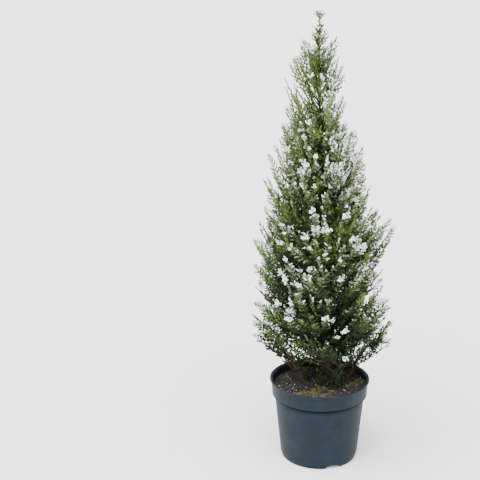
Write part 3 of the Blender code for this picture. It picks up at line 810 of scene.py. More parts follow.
class Mass:
    """One mass of foliage: its bough's line, and the band and sector round the trunk it fills."""

    def __init__(self, tier, k):
        self.tier = tier
        self.low, self.count, first_azimuth, self.plumes, self.length = TIERS[tier]
        self.high = TIERS[tier + 1][0] if tier + 1 < len(TIERS) else TIER_TOP
        self.azimuth = math.radians(first_azimuth) + math.tau * k / self.count
        self.sector = math.tau / self.count
        self.foot_start = blend(self.low, self.high, FOOT_SHARES[tier])
        self.start = blend(self.low, self.high, 0.5)
        self.first = 0.5 * trunk_radius(self.foot_start)
        if tier == 0:
            self.first = SIDE_STEM_OFFSETS[k]
            self.foot_start = (SOIL_LEVEL - 0.001) / climb_factor(self.first)
        self.last = max(self.first + LEAST_BOUGH, limb_end(self.start, self.azimuth, BOUGH_SHARE))

    def bough_start(self, reach):
        """The start height of the bough's line at a distance from the trunk."""
        share = (reach - self.first) / (self.last - self.first)
        return blend(self.foot_start, self.start, eased(min(1.0, max(0.0, share * 1.4))))

    def bough_line(self, shares):
        """The bough's points at shares of its length."""
        reaches = [blend(self.first, self.last, share) for share in shares]
        return [limb_point(self.bough_start(r), self.azimuth, r) for r in reaches]


masses = [Mass(tier, k) for tier, values in enumerate(TIERS) for k in range(values[1])]
shares = [i / (BOUGH_POINTS - 1) for i in range(BOUGH_POINTS)]
bm = bmesh.new()
for mass in masses[:-1]:
    thick = BOUGH_RADII[0] * (1.0 - BOUGH_THINNING * mass.tier)
    thick = SIDE_STEM_RADIUS if mass.tier == 0 else thick
    radii = [blend(thick, BOUGH_RADII[1], share ** 0.8) for share in shares]
    bark_tube(bm, mass.bough_line(shares), radii, 9, 0.12)
limb_nodes = [n for n in frame["nodes"] if n.startswith(("bough", "side_stem"))]
fix(new_piece("bough_bark", bm, bark), sorted(limb_nodes))


# The plumes: each bough carries upswept feathery plumes. A plume is a thin young shoot, bare at
# first and leafy further out. Most leave their mass's bough part of the way along it, and the
# others leave the trunk itself.
PLUME_TWIST = 1.2
# Steps that spread a mass's plumes evenly: the plastic number's first two inverse powers
STEP_UP = 0.754877666
STEP_ROUND = 0.569840291
# How far plumes reach, as shares of the way to the crown's outline, and which of them are outer
PLUME_DEPTHS = (1.0, 0.70, 0.90, 0.52, 1.08, 0.80)
PLUME_SPREAD = (0.93, 1.07)
OUTER_DEPTH = 0.85
# How long their leafy parts are, as shares of their mass's, and the most of a plume that is leafy
PLUME_LENGTHS = (0.8, 1.15)
MOST_LEAFY = 0.86
# How much the crown's outline swells and sinks from plume to plume, at a height. Plumes that
# stay deeper inside than the rough depth keep their length.
ROUGH_HEIGHTS = ((0.24, 0.80), (0.40, 0.60), (0.50, 0.60), (0.68, 1.10))
ROUGH_LIMITS = (-0.30, 0.10)
ROUGH_DEPTH = 0.65
SWELL_SIZE = 0.034
SWELL_STRETCH = 0.35
SWELL_REACH = 0.1
TIP_SETBACK = 0.15
# Plumes that leave their mass's bough do so between these shares of their reach
SIDE_STEM_FEET = (0.45, 0.75)
BOUGH_FEET = (0.25, 0.5)
# The cleft in front that shows the leader: from and up to a height, its azimuth, half its width
CLEFT = (0.52, 0.66, math.radians(264), 0.24)
LEADER_TURNS = (1.3, 2.9)
LEADER_LENGTH = 0.100
LEADER_SETBACK = 0.009
# Young shoots that leave the soil beside the trunk: across, back and height
BASAL_SHOOTS = (
    (-0.006, -0.010, 0.030),
    (0.002, -0.020, 0.026),
    (0.006, -0.008, 0.040),
    (0.012, -0.026, 0.022),
    (0.016, -0.012, 0.034),
    (0.026, -0.014, 0.028),
    (0.040, -0.006, 0.024),
    (-0.022, 0.004, 0.030),
)
CROWN_MIDDLE = (cad_low + cad_high) / 2
CROWN_LIMIT = 0.129
AXIS_POINTS = 9
SPRAY_LENGTH = 0.0130
TIP_CROWDING = 1.5


def height_share(table, height):
    """A value read between the heights of a table."""
    value = table[0][1]
    for (low, low_value), (high, high_value) in zip(table, table[1:]):
        if height > low:
            value = blend(low_value, high_value, min(1.0, (height - low) / (high - low)))
    return value


class Plume:
    """A plume's line from its bough to its tip, and the plane its sprays lie in."""

    basal = False
    crowding = TIP_CROWDING

    def __init__(self, mass, i, rng):
        u = (0.5 + (i + 1) * STEP_UP) % 1.0
        v = (0.5 + (i + 1) * STEP_ROUND) % 1.0
        start = blend(mass.low, mass.high, u)
        azimuth = mass.azimuth + (v - 0.5) * mass.sector
        self.depth = PLUME_DEPTHS[i % len(PLUME_DEPTHS)] * rng.uniform(*PLUME_SPREAD)
        low, high, middle, width = CLEFT
        aside = math.remainder(azimuth - middle, math.tau)
        self.in_cleft = low < start < high and abs(aside) < width
        self.outer = self.depth > OUTER_DEPTH
        beyond = limb_point(start, azimuth, SWELL_REACH)
        beyond.z *= SWELL_STRETCH
        self.swell = noise.noise(beyond / SWELL_SIZE)
        if self.depth > ROUGH_DEPTH:
            rough = height_share(ROUGH_HEIGHTS, start) * self.swell
            self.depth *= 1.0 + min(ROUGH_LIMITS[1], max(ROUGH_LIMITS[0], rough))
        last = limb_end(start, azimuth, self.depth) - TIP_SETBACK * SPRAY_LENGTH
        while (limb_point(start, azimuth, last) - CROWN_MIDDLE).xy.length > CROWN_LIMIT:
            last -= 0.001
        foot = start, azimuth, min(0.0012, 0.2 * last)
        if mass.count > 2 and i % 3 != 1:
            near, far = SIDE_STEM_FEET if mass.tier == 0 else BOUGH_FEET
            first = min(last * rng.uniform(near, far), blend(mass.first, mass.last, 0.9))
            first = max(first, min(mass.first, 0.7 * last))
            foot = mass.bough_start(first), mass.azimuth, first
        self.points = []
        for t in (k / (AXIS_POINTS - 1) for k in range(AXIS_POINTS)):
            line = blend(foot[0], start, eased(t)), blend(foot[1], azimuth, eased(t))
            self.points.append(limb_point(*line, blend(foot[2], last, t)))
        self.measure(mass.length * rng.uniform(*PLUME_LENGTHS), azimuth, rng)

    def measure(self, length, azimuth, rng):
        """Works out the distances along the line and the plane of the sprays."""
        spans = [(b - a).length for a, b in zip(self.points, self.points[1:])]
        self.places = [sum(spans[:k]) for k in range(len(self.points))]
        self.sprays = []
        self.total = self.places[-1]
        self.length = min(length, MOST_LEAFY * self.total)
        self.bare = self.total - self.length
        self.azimuth = azimuth
        tangent = self.at(self.total)[1]
        plane = tangent.cross(level(azimuth + math.pi / 2).cross(tangent)).normalized()
        twist = rng.uniform(-PLUME_TWIST, PLUME_TWIST)
        self.normal = Matrix.Rotation(twist, 3, tangent) @ plane.cross(tangent)

    def at(self, distance):
        """The point at a distance along the line, and the direction there."""
        k = 0
        while k < len(self.points) - 2 and self.places[k + 1] < distance:
            k += 1
        share = (distance - self.places[k]) / max(1e-6, self.places[k + 1] - self.places[k])
        a, b = self.points[k], self.points[k + 1]
        return a.lerp(b, share), (b - a).normalized()


class Leader(Plume):
    """The young top of the trunk, which is a plume that stands upright."""

    crowding = 1.0

    def __init__(self, turn, rng):
        count = AXIS_POINTS - 1
        low, high = blend(TRUNK_TOP, PLANT_TOP, -0.4), PLANT_TOP - LEADER_SETBACK
        self.points = [trunk_centre(blend(low, high, k / count)) for k in range(count + 1)]
        self.depth, self.outer, self.swell = 1.0, True, 0.0
        self.measure(LEADER_LENGTH, turn, rng)
        self.normal = level(turn)


class BasalShoot(Plume):
    """A young shoot that leaves the soil beside the trunk and stands nearly upright."""

    basal = True

    def __init__(self, x, y, height, rng):
        foot = Vector((x, y, SOIL_LEVEL - 0.001))
        lean = Vector((rng.uniform(-0.2, 0.2), rng.uniform(-0.5, 0.0), 1.0)) * height
        self.points = [foot + lean * k / (AXIS_POINTS - 1) for k in range(AXIS_POINTS)]
        self.depth, self.outer, self.swell = 0.6, False, 0.0
        self.measure(0.8 * height, math.radians(-90), rng)


rng = random.Random(5)
plumes = [Plume(mass, i, rng) for mass in masses for i in range(mass.plumes)]
plumes = [plume for plume in plumes if not plume.in_cleft]
plumes += [Leader(turn, rng) for turn in LEADER_TURNS]
plumes += [BasalShoot(x, y, height, rng) for x, y, height in BASAL_SHOOTS]


# The sprays: they stand along both sides of a plume. A spray is a stalk with short shoots, all
# covered in scale leaves: yellow-green outside and dark inside, which is partly their own colour
# and partly painted light and shade, whitened where snow froze on to them, and dead low down at
# the sides.
SPRAY_STEP = 0.0041
SPRAY_ANGLE = math.radians(45)
SPRAY_LIFT = Vector((0, 0, 0.10))
# The least length of a side spray, and the length of the last one, as shares of a full spray's
SIDE_SPRAY = 0.46
END_SPRAY = 0.54
LEAST_SPRAYS = 4
# Below the skirt the shoots have lost their leaves: its height at the trunk, how fast it climbs
# away from it, and how much faster in front
SKIRT = (0.143, 0.54, 0.32)
SKIRT_LEAVES = 0.16
SKIRT_FRINGE = 0.02
SKIRT_PATCH = 0.009
TIP_CLEARANCE = 0.009
# A spray is one of six fine shapes, or one of as many stout ones with shoots this much wider
SPRAY_SHAPES = 6
STOUT = 1.5
STOUT_BELOW = (0.22, 0.28)
STOUT_OUTSIDE = (0.75, 1.15)
STOUT_TIP = 0.9
SHOOT_COUNT = 15
SHOOT_WIDTH = 0.12
# Towards the top the sprays get smaller
TOP_SPRAYS = ((0.54, 1.0), (0.72, 0.76))
# Bright, green and dark are lit, half-lit and shaded copies of one leaf colour: painted light and
# shade, and partly the bright sprays' own young yellow-green
BRIGHT, GREEN, DARK, HOARY, RUSTY = "bright", "green", "dark", "hoary", "rusty"
# The painted light that a spray needs to look bright, and to look green and not dark at a height
BRIGHT_LIGHT = 0.88
GREEN_LIGHT = ((0.24, 0.56), (0.31, 0.66), (0.37, 0.56), (0.43, 0.52), (0.48, 0.30), (0.84, 0.20))
LIT_HEIGHT = 0.43
LIT_GAIN = 2.6
SHADED_HEIGHT = 0.36
SHADED_LOSS = 1.0
BASAL_LIGHT = 0.10
LIGHT_PATCH = 0.04
RUST_HEIGHT = 0.20
OLD_LEAF_STEP = 0.004
OLD_LEAF_HEIGHT = 0.24
# Sprays on the boughs themselves, by tier: how many, and their sizes as shares
BOUGH_SPRAYS = {0: (130, 0.4, 0.9), 1: (170, 0.6, 1.2)}
# How much of a plume the snow has caught, at a height
RIME_HEIGHTS = (
    (0.16, 0.04),
    (0.30, 0.07),
    (0.40, 0.12),
    (0.52, 0.20),
    (0.62, 0.26),
    (0.70, 0.28),
    (0.78, 0.54),
    (0.84, 0.90),
)
# How many sprays are hoary besides those on rimed plumes, at a height
HOAR_HEIGHTS = ((0.20, 0.03), (0.38, 0.10), (0.56, 0.05), (0.66, 0.22))
# There is more rime on the side that the snow came from, and where the outline swells
SNOW_SIDE = math.radians(-35)
SIDE_RIME = 0.30
SWELL_RIME = 1.2
# Where the front has caught more rime or less: across, up, how far that spreads and how many
# times as much there is
RIME_PATCHES = (
    (-0.074, 0.578, 0.032, 2.6),
    (-0.048, 0.640, 0.024, 1.6),
    (0.030, 0.625, 0.036, 1.5),
    (0.026, 0.540, 0.036, 1.7),
    (0.058, 0.570, 0.026, 1.6),
    (-0.086, 0.510, 0.030, 0.3),
    (0.082, 0.520, 0.022, 0.4),
    (-0.018, 0.600, 0.018, 0.3),
    (-0.030, 0.500, 0.024, 1.5),
    (-0.085, 0.430, 0.026, 1.6),
    (0.050, 0.450, 0.030, 0.5),
    (-0.050, 0.400, 0.030, 1.8),
    (-0.040, 0.340, 0.030, 1.8),
    (0.090, 0.290, 0.030, 2.0),
)
CLUMP_RIME = 0.16
# How likely a plume's tip is to carry a clump of snow, at a height, and how large clumps are
CLUMP_HEIGHTS = (
    (0.16, 0.03),
    (0.22, 0.05),
    (0.40, 0.06),
    (0.52, 0.12),
    (0.70, 0.12),
    (0.84, 0.05),
)
CLUMP_LOAD = 0.45
CLUMP_EXTRA_LOADS = (0.8, 0.6)
SMALL_CLUMP_HEIGHT = 0.48
GREAT_LOADS = (1.2, 1.9)
# The largest clumps seen from the front: across and up in the plane through the trunk
GREAT_CLUMPS = (
    (-0.028, 0.502),
    (0.003, 0.451),
    (-0.034, 0.451),
    (0.046, 0.476),
    (-0.030, 0.416),
    (0.063, 0.407),
    (0.097, 0.388),
    (0.079, 0.368),
    (0.036, 0.368),
    (-0.083, 0.380),
    (-0.057, 0.355),
    (-0.033, 0.341),
    (0.012, 0.335),
    (-0.084, 0.311),
    (-0.060, 0.289),
    (0.032, 0.285),
    (-0.003, 0.280),
    (0.054, 0.260),
    (-0.075, 0.266),
    (0.118, 0.311),
)
# Where the plant is seen from in the photograph
EYE = Vector((-0.15, -1.8, 0.944))
PIECE_TRIANGLES = 190000


def drifted(point, size, contrast):
    """Snow falls in patches: a factor about 1 that changes from place to place."""
    return max(0.0, 1.0 + contrast * noise.noise(point / size))


def seen_at(point):
    """Where a point is seen from the front: across and up in the plane through the trunk."""
    seen = EYE + (point - EYE) * (EYE.y / (EYE.y - point.y))
    return Vector((seen.x, seen.z))


def skirt(point):
    """The height below which the shoots beside a point have lost their leaves."""
    away = (point - trunk_centre(point.z)).xy
    front = max(0.0, -away.y) / max(1e-6, away.length)
    return SKIRT[0] + (SKIRT[1] + SKIRT[2] * front) * away.length


def beside(azimuth):
    """Whether an azimuth points to the left or the right of the trunk."""
    return abs(math.cos(azimuth)) > 0.7


laden = {}
front = [plume for plume in plumes if plume.outer and math.sin(plume.azimuth) < 0.2]
for place in GREAT_CLUMPS:
    nearest = min(front, key=lambda plume: (seen_at(plume.points[-1]) - Vector(place)).length)
    laden[nearest] = rng.uniform(*GREAT_LOADS)
for plume in plumes:
    tip = plume.points[-1]
    free = plume not in laden and plume.outer and tip.z > skirt(tip) + 0.04
    chance = height_share(CLUMP_HEIGHTS, tip.z) * drifted(tip, 0.05, 1.5)
    if free and rng.random() < chance:
        extra = CLUMP_EXTRA_LOADS[0 if tip.z < SMALL_CLUMP_HEIGHT else 1]
        laden[plume] = CLUMP_LOAD + extra * rng.random() ** 2


def rime_caught(plume, rng):
    """How much of a plume the snow has whitened: none at 0, and all of it at about 1."""
    tip = plume.points[-1]
    rime = height_share(RIME_HEIGHTS, tip.z) * drifted(tip, 0.03, 1.6) * rng.uniform(0.4, 1.6)
    rime *= 1.0 + SIDE_RIME * math.cos(plume.azimuth - SNOW_SIDE)
    rime *= max(0.3, 1.0 + SWELL_RIME * plume.swell)
    if math.sin(plume.azimuth) < 0.3:
        for across, up, spread, factor in RIME_PATCHES:
            near = math.exp(-((seen_at(tip) - Vector((across, up))).length / spread) ** 2)
            rime *= blend(1.0, factor, near)
    return rime + CLUMP_RIME * laden.get(plume, 0.0)


def spray_tone(plume, root, end, share, out, rng):
    """A spray's tone, which paints light and shade on it. Its painted light grows outwards,
    towards its plume's tip and up the crown, and falls low down. Rime makes it hoary, and the
    lowest ones at the sides are partly dead."""
    light = 0.52 * out + 0.44 * share + rng.uniform(-0.22, 0.22)
    light += LIT_GAIN * max(0.0, root.z - LIT_HEIGHT)
    light -= SHADED_LOSS * max(0.0, SHADED_HEIGHT - root.z)
    light += 0.16 * noise.noise(root / LIGHT_PATCH) + 0.22 * plume.swell
    light += BASAL_LIGHT if plume.basal else 0.0
    tone = GREEN if light > height_share(GREEN_LIGHT, root.z) else DARK
    if light > BRIGHT_LIGHT:
        tone = BRIGHT
    hoary = 0.42 * plume.rime + 1.6 * (share - 1.0 + 1.3 * plume.rime)
    if rng.random() < hoary + height_share(HOAR_HEIGHTS, root.z) and out > 0.3:
        tone = HOARY
    if end.z < RUST_HEIGHT and beside(plume.azimuth) and rng.random() < 0.5:
        tone = RUSTY
    return tone


def spray_kind(root, share, out, small, rng):
    """A spray's shape: stout at a plume's tip, low down, high up and outside, or else fine."""
    kind = rng.randrange(SPRAY_SHAPES)
    low_down = root.z < rng.uniform(*STOUT_BELOW)
    if small < rng.uniform(0.78, 0.98) or share > STOUT_TIP or low_down:
        return kind + SPRAY_SHAPES
    return kind + SPRAY_SHAPES if out > rng.uniform(*STOUT_OUTSIDE) else kind


Spray = namedtuple("Spray", "root way normal size kind tone out share")


def grow_sprays(plume, rng):
    """The sprays along both sides of a plume's leafy part, closer together towards its tip. They
    are longest near the middle, and the last one points straight on."""
    count = max(LEAST_SPRAYS, round(plume.length / SPRAY_STEP))
    for j in range(count + 1):
        share = 1.0 - (1.0 - (j + 0.4) / (count + 0.4)) ** plume.crowding
        root, along = plume.at(plume.bare + plume.length * share)
        side = along.cross(plume.normal).normalized() * (1 if j % 2 else -1)
        small = height_share(TOP_SPRAYS, root.z)
        angle = SPRAY_ANGLE * rng.uniform(0.8, 1.2) * small if j < count else 0.0
        lift = plume.normal * rng.uniform(-0.45, 0.45) * (0.3 if share > 0.9 else 1.0) + SPRAY_LIFT
        way = (along * math.cos(angle) + side * math.sin(angle) + lift).normalized()
        full = min(1.0, 0.55 + 2.4 * share) * (1.0 - share) ** 0.6
        full += SIDE_SPRAY if j < count else END_SPRAY
        size = SPRAY_LENGTH * full * small * rng.uniform(0.85, 1.15)
        end = root + way * size
        if end.z < skirt(end) and rng.random() > SKIRT_LEAVES and not plume.basal:
            continue
        patchy = noise.noise(root / SKIRT_PATCH) > 0.16
        if end.z < skirt(end) + SKIRT_FRINGE and patchy and not plume.basal:
            continue
        normal = Matrix.Rotation(rng.gauss(0, 0.55), 3, way) @ plume.normal
        out = (end - trunk_centre(end.z)).xy.length / crown_reach(end.z, plume.azimuth)
        tone = spray_tone(plume, root, end, share, out, rng)
        kind = spray_kind(root, share, out, small, rng)
        yield Spray(root, way, normal, size, kind, tone, out, share)


def old_sprays(plume, rng):
    """The small old sprays that are left on the bare part of a low plume."""
    for _ in range(round(plume.bare / OLD_LEAF_STEP) if plume.points[0].z < 0.2 else 0):
        root, along = plume.at(plume.bare * rng.random())
        way = (along + level(rng.uniform(0, math.tau)) * 0.8).normalized()
        # painted shade: old sprays inside the crown that are not dead take the shaded tone
        tone = RUSTY if beside(plume.azimuth) and rng.random() < 0.4 else DARK
        size = SPRAY_LENGTH * rng.uniform(0.35, 0.65)
        if root.z < OLD_LEAF_HEIGHT and rng.random() < 0.6:
            yield Spray(root, way, along, size, rng.randrange(SPRAY_SHAPES), tone, 0.0, 0.0)


def bough_sprays(mass, rng):
    """The sprays that grow straight out of a low bough, which hide the wood inside the crown."""
    count, least, most = BOUGH_SPRAYS[mass.tier]
    rusty = mass.tier == 0 and beside(mass.azimuth)
    for _ in range(count):
        reach = blend(mass.first, mass.last, rng.random() ** 1.3 * 0.8)
        root, ahead = (
            limb_point(mass.bough_start(r), mass.azimuth, r) for r in (reach, reach + 0.004)
        )
        way = ((ahead - root).normalized() + level(rng.uniform(0, math.tau)) * 0.9).normalized()
        normal = way.orthogonal().normalized()
        # painted shade: sprays on the inner boughs mostly take the shaded tone
        tone = rng.choice((RUSTY, RUSTY, DARK, GREEN) if rusty else (DARK, DARK, GREEN))
        size = SPRAY_LENGTH * rng.uniform(least, most)
        yield Spray(root, way, normal, size, rng.randrange(SPRAY_SHAPES), tone, 0.0, 0.0)


sprays = []
for plume in plumes:
    tip = plume.points[-1]
    if tip.z < skirt(tip) + TIP_CLEARANCE and not plume.basal:
        continue
    plume.rime = rime_caught(plume, rng)
    plume.sprays = list(grow_sprays(plume, rng))
    if len(plume.sprays) < LEAST_SPRAYS:
        plume.sprays = []
        continue
    sprays += plume.sprays
    sprays += old_sprays(plume, rng)
for mass in masses:
    if mass.tier in BOUGH_SPRAYS:
        sprays += bough_sprays(mass, rng)


def spray_shoots(rng, stout):
    """The leafy shoots of a narrow spray one unit long up Y: each one's root, tip and side."""
    shoots = []
    for i in range(SHOOT_COUNT):
        share = (i + 0.7) / (SHOOT_COUNT + 0.5)
        side = 1.0 if i % 2 else -1.0
        angle = math.radians(rng.uniform(30, 56) / stout)
        along = Vector((side * math.sin(angle), math.cos(angle), rng.uniform(-0.7, 0.7)))
        along.normalize()
        root = Vector((0, 0.86 * share, 0))
        tip = root + along * (0.30 - 0.10 * share) * rng.uniform(0.75, 1.25)
        roll = Matrix.Rotation(rng.gauss(0, 0.9), 3, along)
        shoots.append((root, tip, roll @ along.cross(Vector((0, 0, 1))).normalized() * stout))
    tip = Vector((rng.uniform(-0.06, 0.06), 1.0, rng.uniform(-0.06, 0.06)))
    shoots.append((Vector((0, 0.70, 0)), tip, Vector((stout, 0, 0))))
    return shoots


def spray_shape(shoots):
    """A spray: a thin stalk, and each shoot as a folded blade of two faces."""
    bm = bmesh.new()
    up = Vector((0, 0, 1))
    leaf_blade(bm, Vector((0, 0, 0)), Vector((0, 0.95, 0)), Vector((1, 0, 0)), up, 0.09, 0.06)
    for root, tip, across in shoots:
        middle, half = root.lerp(tip, 0.5), across * SHOOT_WIDTH / 2
        left, right = middle - half + up * 0.02, middle + (half + up * 0.02)
        verts = [bm.verts.new(place) for place in (root, left, tip, right)]
        bm.faces.new((verts[0], verts[2], verts[1]))
        bm.faces.new((verts[0], verts[3], verts[2]))
    return bm


def turn_of(along, normal):
    """The turn, as an Euler, that takes Y to a direction and Z as near as it goes to a normal."""
    side = along.cross(normal).normalized()
    columns = (side, along, side.cross(along))
    return Matrix(columns).transposed().to_euler()


def deal_sprays(name, mine, shapes, finish):
    """Deals sprays out in pieces that each stay under the most triangles a piece may have."""
    parts = math.ceil(len(mine) * len(shapes.objects[0].data.polygons) / PIECE_TRIANGLES)
    for part in range(parts):
        spots = []
        for spray in mine[part::parts]:
            turn = list(turn_of(spray.way, spray.normal))
            spots.append((spray.root, turn, [spray.size] * 3, spray.kind))
        fix(dealt_out(f"{name}_{part + 1}", spots, shapes, finish), foliage_nodes)


def scale_leaves(name, colour, shade, sheen=0.25):
    """Scale leaves: waxy green, matt because their tiny overlapping scales break up the shine.
    The scales are about 1 mm long. Their speckle is drawn 2.4 mm wide, so that it shows."""
    made, tree, shader, place = new_finish(name, Roughness=0.55, IOR=1.45)
    shader.inputs["Specular IOR Level"].default_value = sheen
    speckle = patches(tree, place, 0.0024, 0.40, 0.60, 2.0)
    tree.links.new(mixed(tree, speckle, colour, shade), shader.inputs["Base Color"])
    scales = add(tree, "ShaderNodeTexVoronoi", {"Vector": place, "Scale": 1 / 0.0011})
    relief(tree, shader, scales.outputs["Distance"], 0.0003)
    return made


foliage_nodes = sorted(n for n in frame["nodes"] if n.startswith("foliage"))
stoutness = [1.0] * SPRAY_SHAPES + [STOUT] * SPRAY_SHAPES
all_shoots = [spray_shoots(rng, stout) for stout in stoutness]
spray_shapes = shape_set("spray", [spray_shape(shoots) for shoots in all_shoots])
FINISHES = {
    # painted light and shade: the first three finishes are lit, half-lit and shaded copies of one
    # leaf colour
    BRIGHT: scale_leaves("lit young scale leaves", "#637c38", "#2d3f17"),
    GREEN: scale_leaves("half-lit grown scale leaves", "#3c5125", "#14200c"),
    DARK: scale_leaves("shaded scale leaves", "#203418", "#091306"),
    HOARY: scale_leaves("rimed scale leaves", "#8b9479", "#434f33", 0.1),
    RUSTY: scale_leaves("dead scale leaves", "#5d4834", "#413225", 0.1),
}
for tone, finish in FINISHES.items():
    mine = [spray for spray in sprays if spray.tone == tone]
    deal_sprays(f"{tone}_sprays", mine, spray_shapes, finish)


# The twigs: the plumes' own wood under a thin skin. It is brown where a plume leaves its bough,
# green where it carries sprays, and yellow-green where it is young and sunlit, which is partly
# painted light.
TWIG_RADII = (0.0011, 0.0005)
WOOD_OVERLAP = 0.012
SHOOT_POINTS = 6
# Towards the top the shoots that carry the sprays get thicker
TOP_SHOOTS = ((0.54, 1.0), (0.72, 1.8))
GREEN_WOOD_HEIGHT = 0.66
BROWN_FRINGE = 0.01
# Young skin shows on the outermost plumes high up and at the right, and near the top on others.
# Its yellow-green is partly painted light, given only where a shoot counts as sunlit.
YOUNG_TOP = 0.60
YOUNG_HEIGHT = 0.45
YOUNG_SIDE = 0.06


def wood_line(plume):
    """A plume's woody part as (point, radius) pairs, from its bough to where its sprays start."""
    line = [(p, blend(*TWIG_RADII, d / plume.total)) for p, d in zip(plume.points, plume.places)]
    wood = [pair for pair, d in zip(line, plume.places) if d < plume.bare + WOOD_OVERLAP]
    return wood or line[:2]


def shoot_line(plume):
    """A plume's leafy shoot as (point, radius) pairs, which lies over the end of its wood."""
    line = []
    for k in range(SHOOT_POINTS):
        point = plume.at(plume.bare + plume.length * k / (SHOOT_POINTS - 1))[0]
        radius = blend(*TWIG_RADII, 0.5 + 0.1 * k) * height_share(TOP_SHOOTS, point.z)
        line.append((point, radius))
    return line


def shoot_skin(plume, line):
    """A shoot's skin: brown near the skirt, yellow-green where it is young and sunlit, which is
    partly painted light, and else green.
    """
    near, middle = line[1][0], line[2][0]
    if near.z < skirt(near) + BROWN_FRINGE:
        return "inner_twigs"
    # painted light: the lighter young skin goes only where the shoot is high up or at the right,
    # as if sunlit
    sunlit = middle.z > YOUNG_HEIGHT or middle.x > YOUNG_SIDE
    young = plume.depth > (0.8 if plume.points[-1].z > YOUNG_TOP else 1.0)
    return "young_shoots" if young and sunlit else "green_shoots"


def twig_bark(name, colour, shade):
    """The skin of young shoots: smooth and nearly dull, with faint leaf scars."""
    made, tree, shader, place = new_finish(name, Roughness=0.75)
    shader.inputs["Specular IOR Level"].default_value = 0.15
    scars = patches(tree, place, 0.002, 0.45, 0.6)
    tree.links.new(mixed(tree, scars, colour, shade), shader.inputs["Base Color"])
    return made


def twig_tree():
    """Geometry Nodes: turns lines of edges into round twigs of the width that each point has."""
    tree = bpy.data.node_groups.new("twigs along lines", "GeometryNodeTree")
    face = tree.interface
    face.new_socket("Lines", in_out="INPUT", socket_type="NodeSocketGeometry")
    face.new_socket("Sides", in_out="INPUT", socket_type="NodeSocketInt")
    face.new_socket("Finish", in_out="INPUT", socket_type="NodeSocketMaterial")
    face.new_socket("Twigs", in_out="OUTPUT", socket_type="NodeSocketGeometry")
    given = add(tree, "NodeGroupInput").outputs
    width = add(tree, "GeometryNodeInputNamedAttribute", {"Name": "width"}, data_type="FLOAT")
    lines = add(tree, "GeometryNodeMeshToCurve", {"Mesh": given["Lines"]})
    ring = {"Resolution": given["Sides"], "Radius": 1.0}
    ring = add(tree, "GeometryNodeCurvePrimitiveCircle", ring)
    tubes = add(tree, "GeometryNodeCurveToMesh", {
        "Curve": lines.outputs[0],
        "Profile Curve": ring.outputs[0],
        "Scale": width.outputs[0],
        "Fill Caps": True,
    })
    real = add(tree, "GeometryNodeRealizeInstances", {"Geometry": tubes.outputs[0]})
    done = {"Geometry": real.outputs[0], "Material": given["Finish"]}
    done = add(tree, "GeometryNodeSetMaterial", done)
    add(tree, "NodeGroupOutput", {0: done.outputs[0]})
    return tree


TWIGS = twig_tree()


def twigs_piece(name, lines, sides, finish):
    """Lines of (point, radius) pairs as one piece of round twigs."""
    places, widths, edges = [], [], []
    for line in lines:
        edges += [(len(places) + k, len(places) + k + 1) for k in range(len(line) - 1)]
        places += [tuple(point) for point, _ in line]
        widths += [radius for _, radius in line]
    piece = point_cloud(name, places, edges, width=widths)
    made_by(TWIGS, piece, Finish=finish, Sides=sides)
    piece.data.shade_smooth()
    return piece


SKINS = {
    "inner_twigs": (4, twig_bark("brown twig bark", "#271c13", "#17100c")),
    "green_shoots": (3, twig_bark("green shoot skin", "#3c491f", "#2e3a19")),
    "young_shoots": (3, twig_bark("young shoot skin", "#5b6c30", "#4c5527")),
}
twigs = {name: [] for name in SKINS}
for plume in plumes:
    if plume.sprays:
        high_up = plume.points[-1].z > GREEN_WOOD_HEIGHT
        twigs["green_shoots" if high_up else "inner_twigs"].append(wood_line(plume))
        shoot = shoot_line(plume)
        twigs[shoot_skin(plume, shoot)].append(shoot)
for name, (sides, skin) in SKINS.items():
    fix(twigs_piece(name, twigs[name], sides, skin), foliage_nodes)


# The snow: wet snow that has frozen on. It whitens the sprays of the upper crown as rime, and
# lies in loose clumps of grains on the tips below, where it sticks to the sprays and sags
# between them.
FROST_SHOOTS = 6
FROST_LIFT = 0.0003
# How far in from its tip a fully rimed plume is frosted, how likely its sprays are to be frosted
# there at most, and how likely they are further in
FROST_DEPTH = 0.76
FROST_MOST = 0.85
FROST_INSIDE = 0.09
# Lumps of snow along a spray: how far along it each one is, and its width
FROST_LUMPS = ((0.34, 0.13), (0.50, 0.15), (0.66, 0.16), (0.82, 0.17), (0.98, 0.17))
# A clump is flat and wide. Its grains stick to the sprays in it, and small heaps of them lie
# on some of the sprays at its middle.
CLUMP_RADIUS = 0.0085
CLUMP_FLATNESS = 0.55
GRAIN_WIDTHS = (0.0015, 0.0030)
GRAIN_JOG = 0.0007
GRAIN_SHAPES = 5
HEAP_RADIUS = 0.0030
HEAP_WIDTHS = (0.0018, 0.0030)
HEAP_GRAINS = 9
HEAP_BAND = 0.002


def frost_shape(shoots, stout, rng):
    """Snow on the outer part of a spray: uneven lumps along its upper face, and on some shoots."""
    bm = bmesh.new()
    up = Vector((0, 0, 1))
    for share, width in FROST_LUMPS:
        middle = Vector((rng.uniform(-0.16, 0.16), share + rng.uniform(-0.06, 0.06), 0.06))
        width *= stout
        size = Matrix.Diagonal((width, 1.15 * width, 0.8 * width, 1.0))
        place = Matrix.Translation(middle) @ size
        made = bmesh.ops.create_icosphere(bm, subdivisions=1, radius=0.5, matrix=place)
        for vert in made["verts"]:
            vert.co += (vert.co - middle) * rng.uniform(-0.3, 0.5)
    for root, tip, across in rng.sample(shoots[5:], FROST_SHOOTS):
        near, far = root.lerp(tip, 0.15) + up * 0.05, root.lerp(tip, 1.12) + up * 0.05
        leaf_blade(bm, near, far, across, up, rng.uniform(0.11, 0.17), 0.12)
    return bm


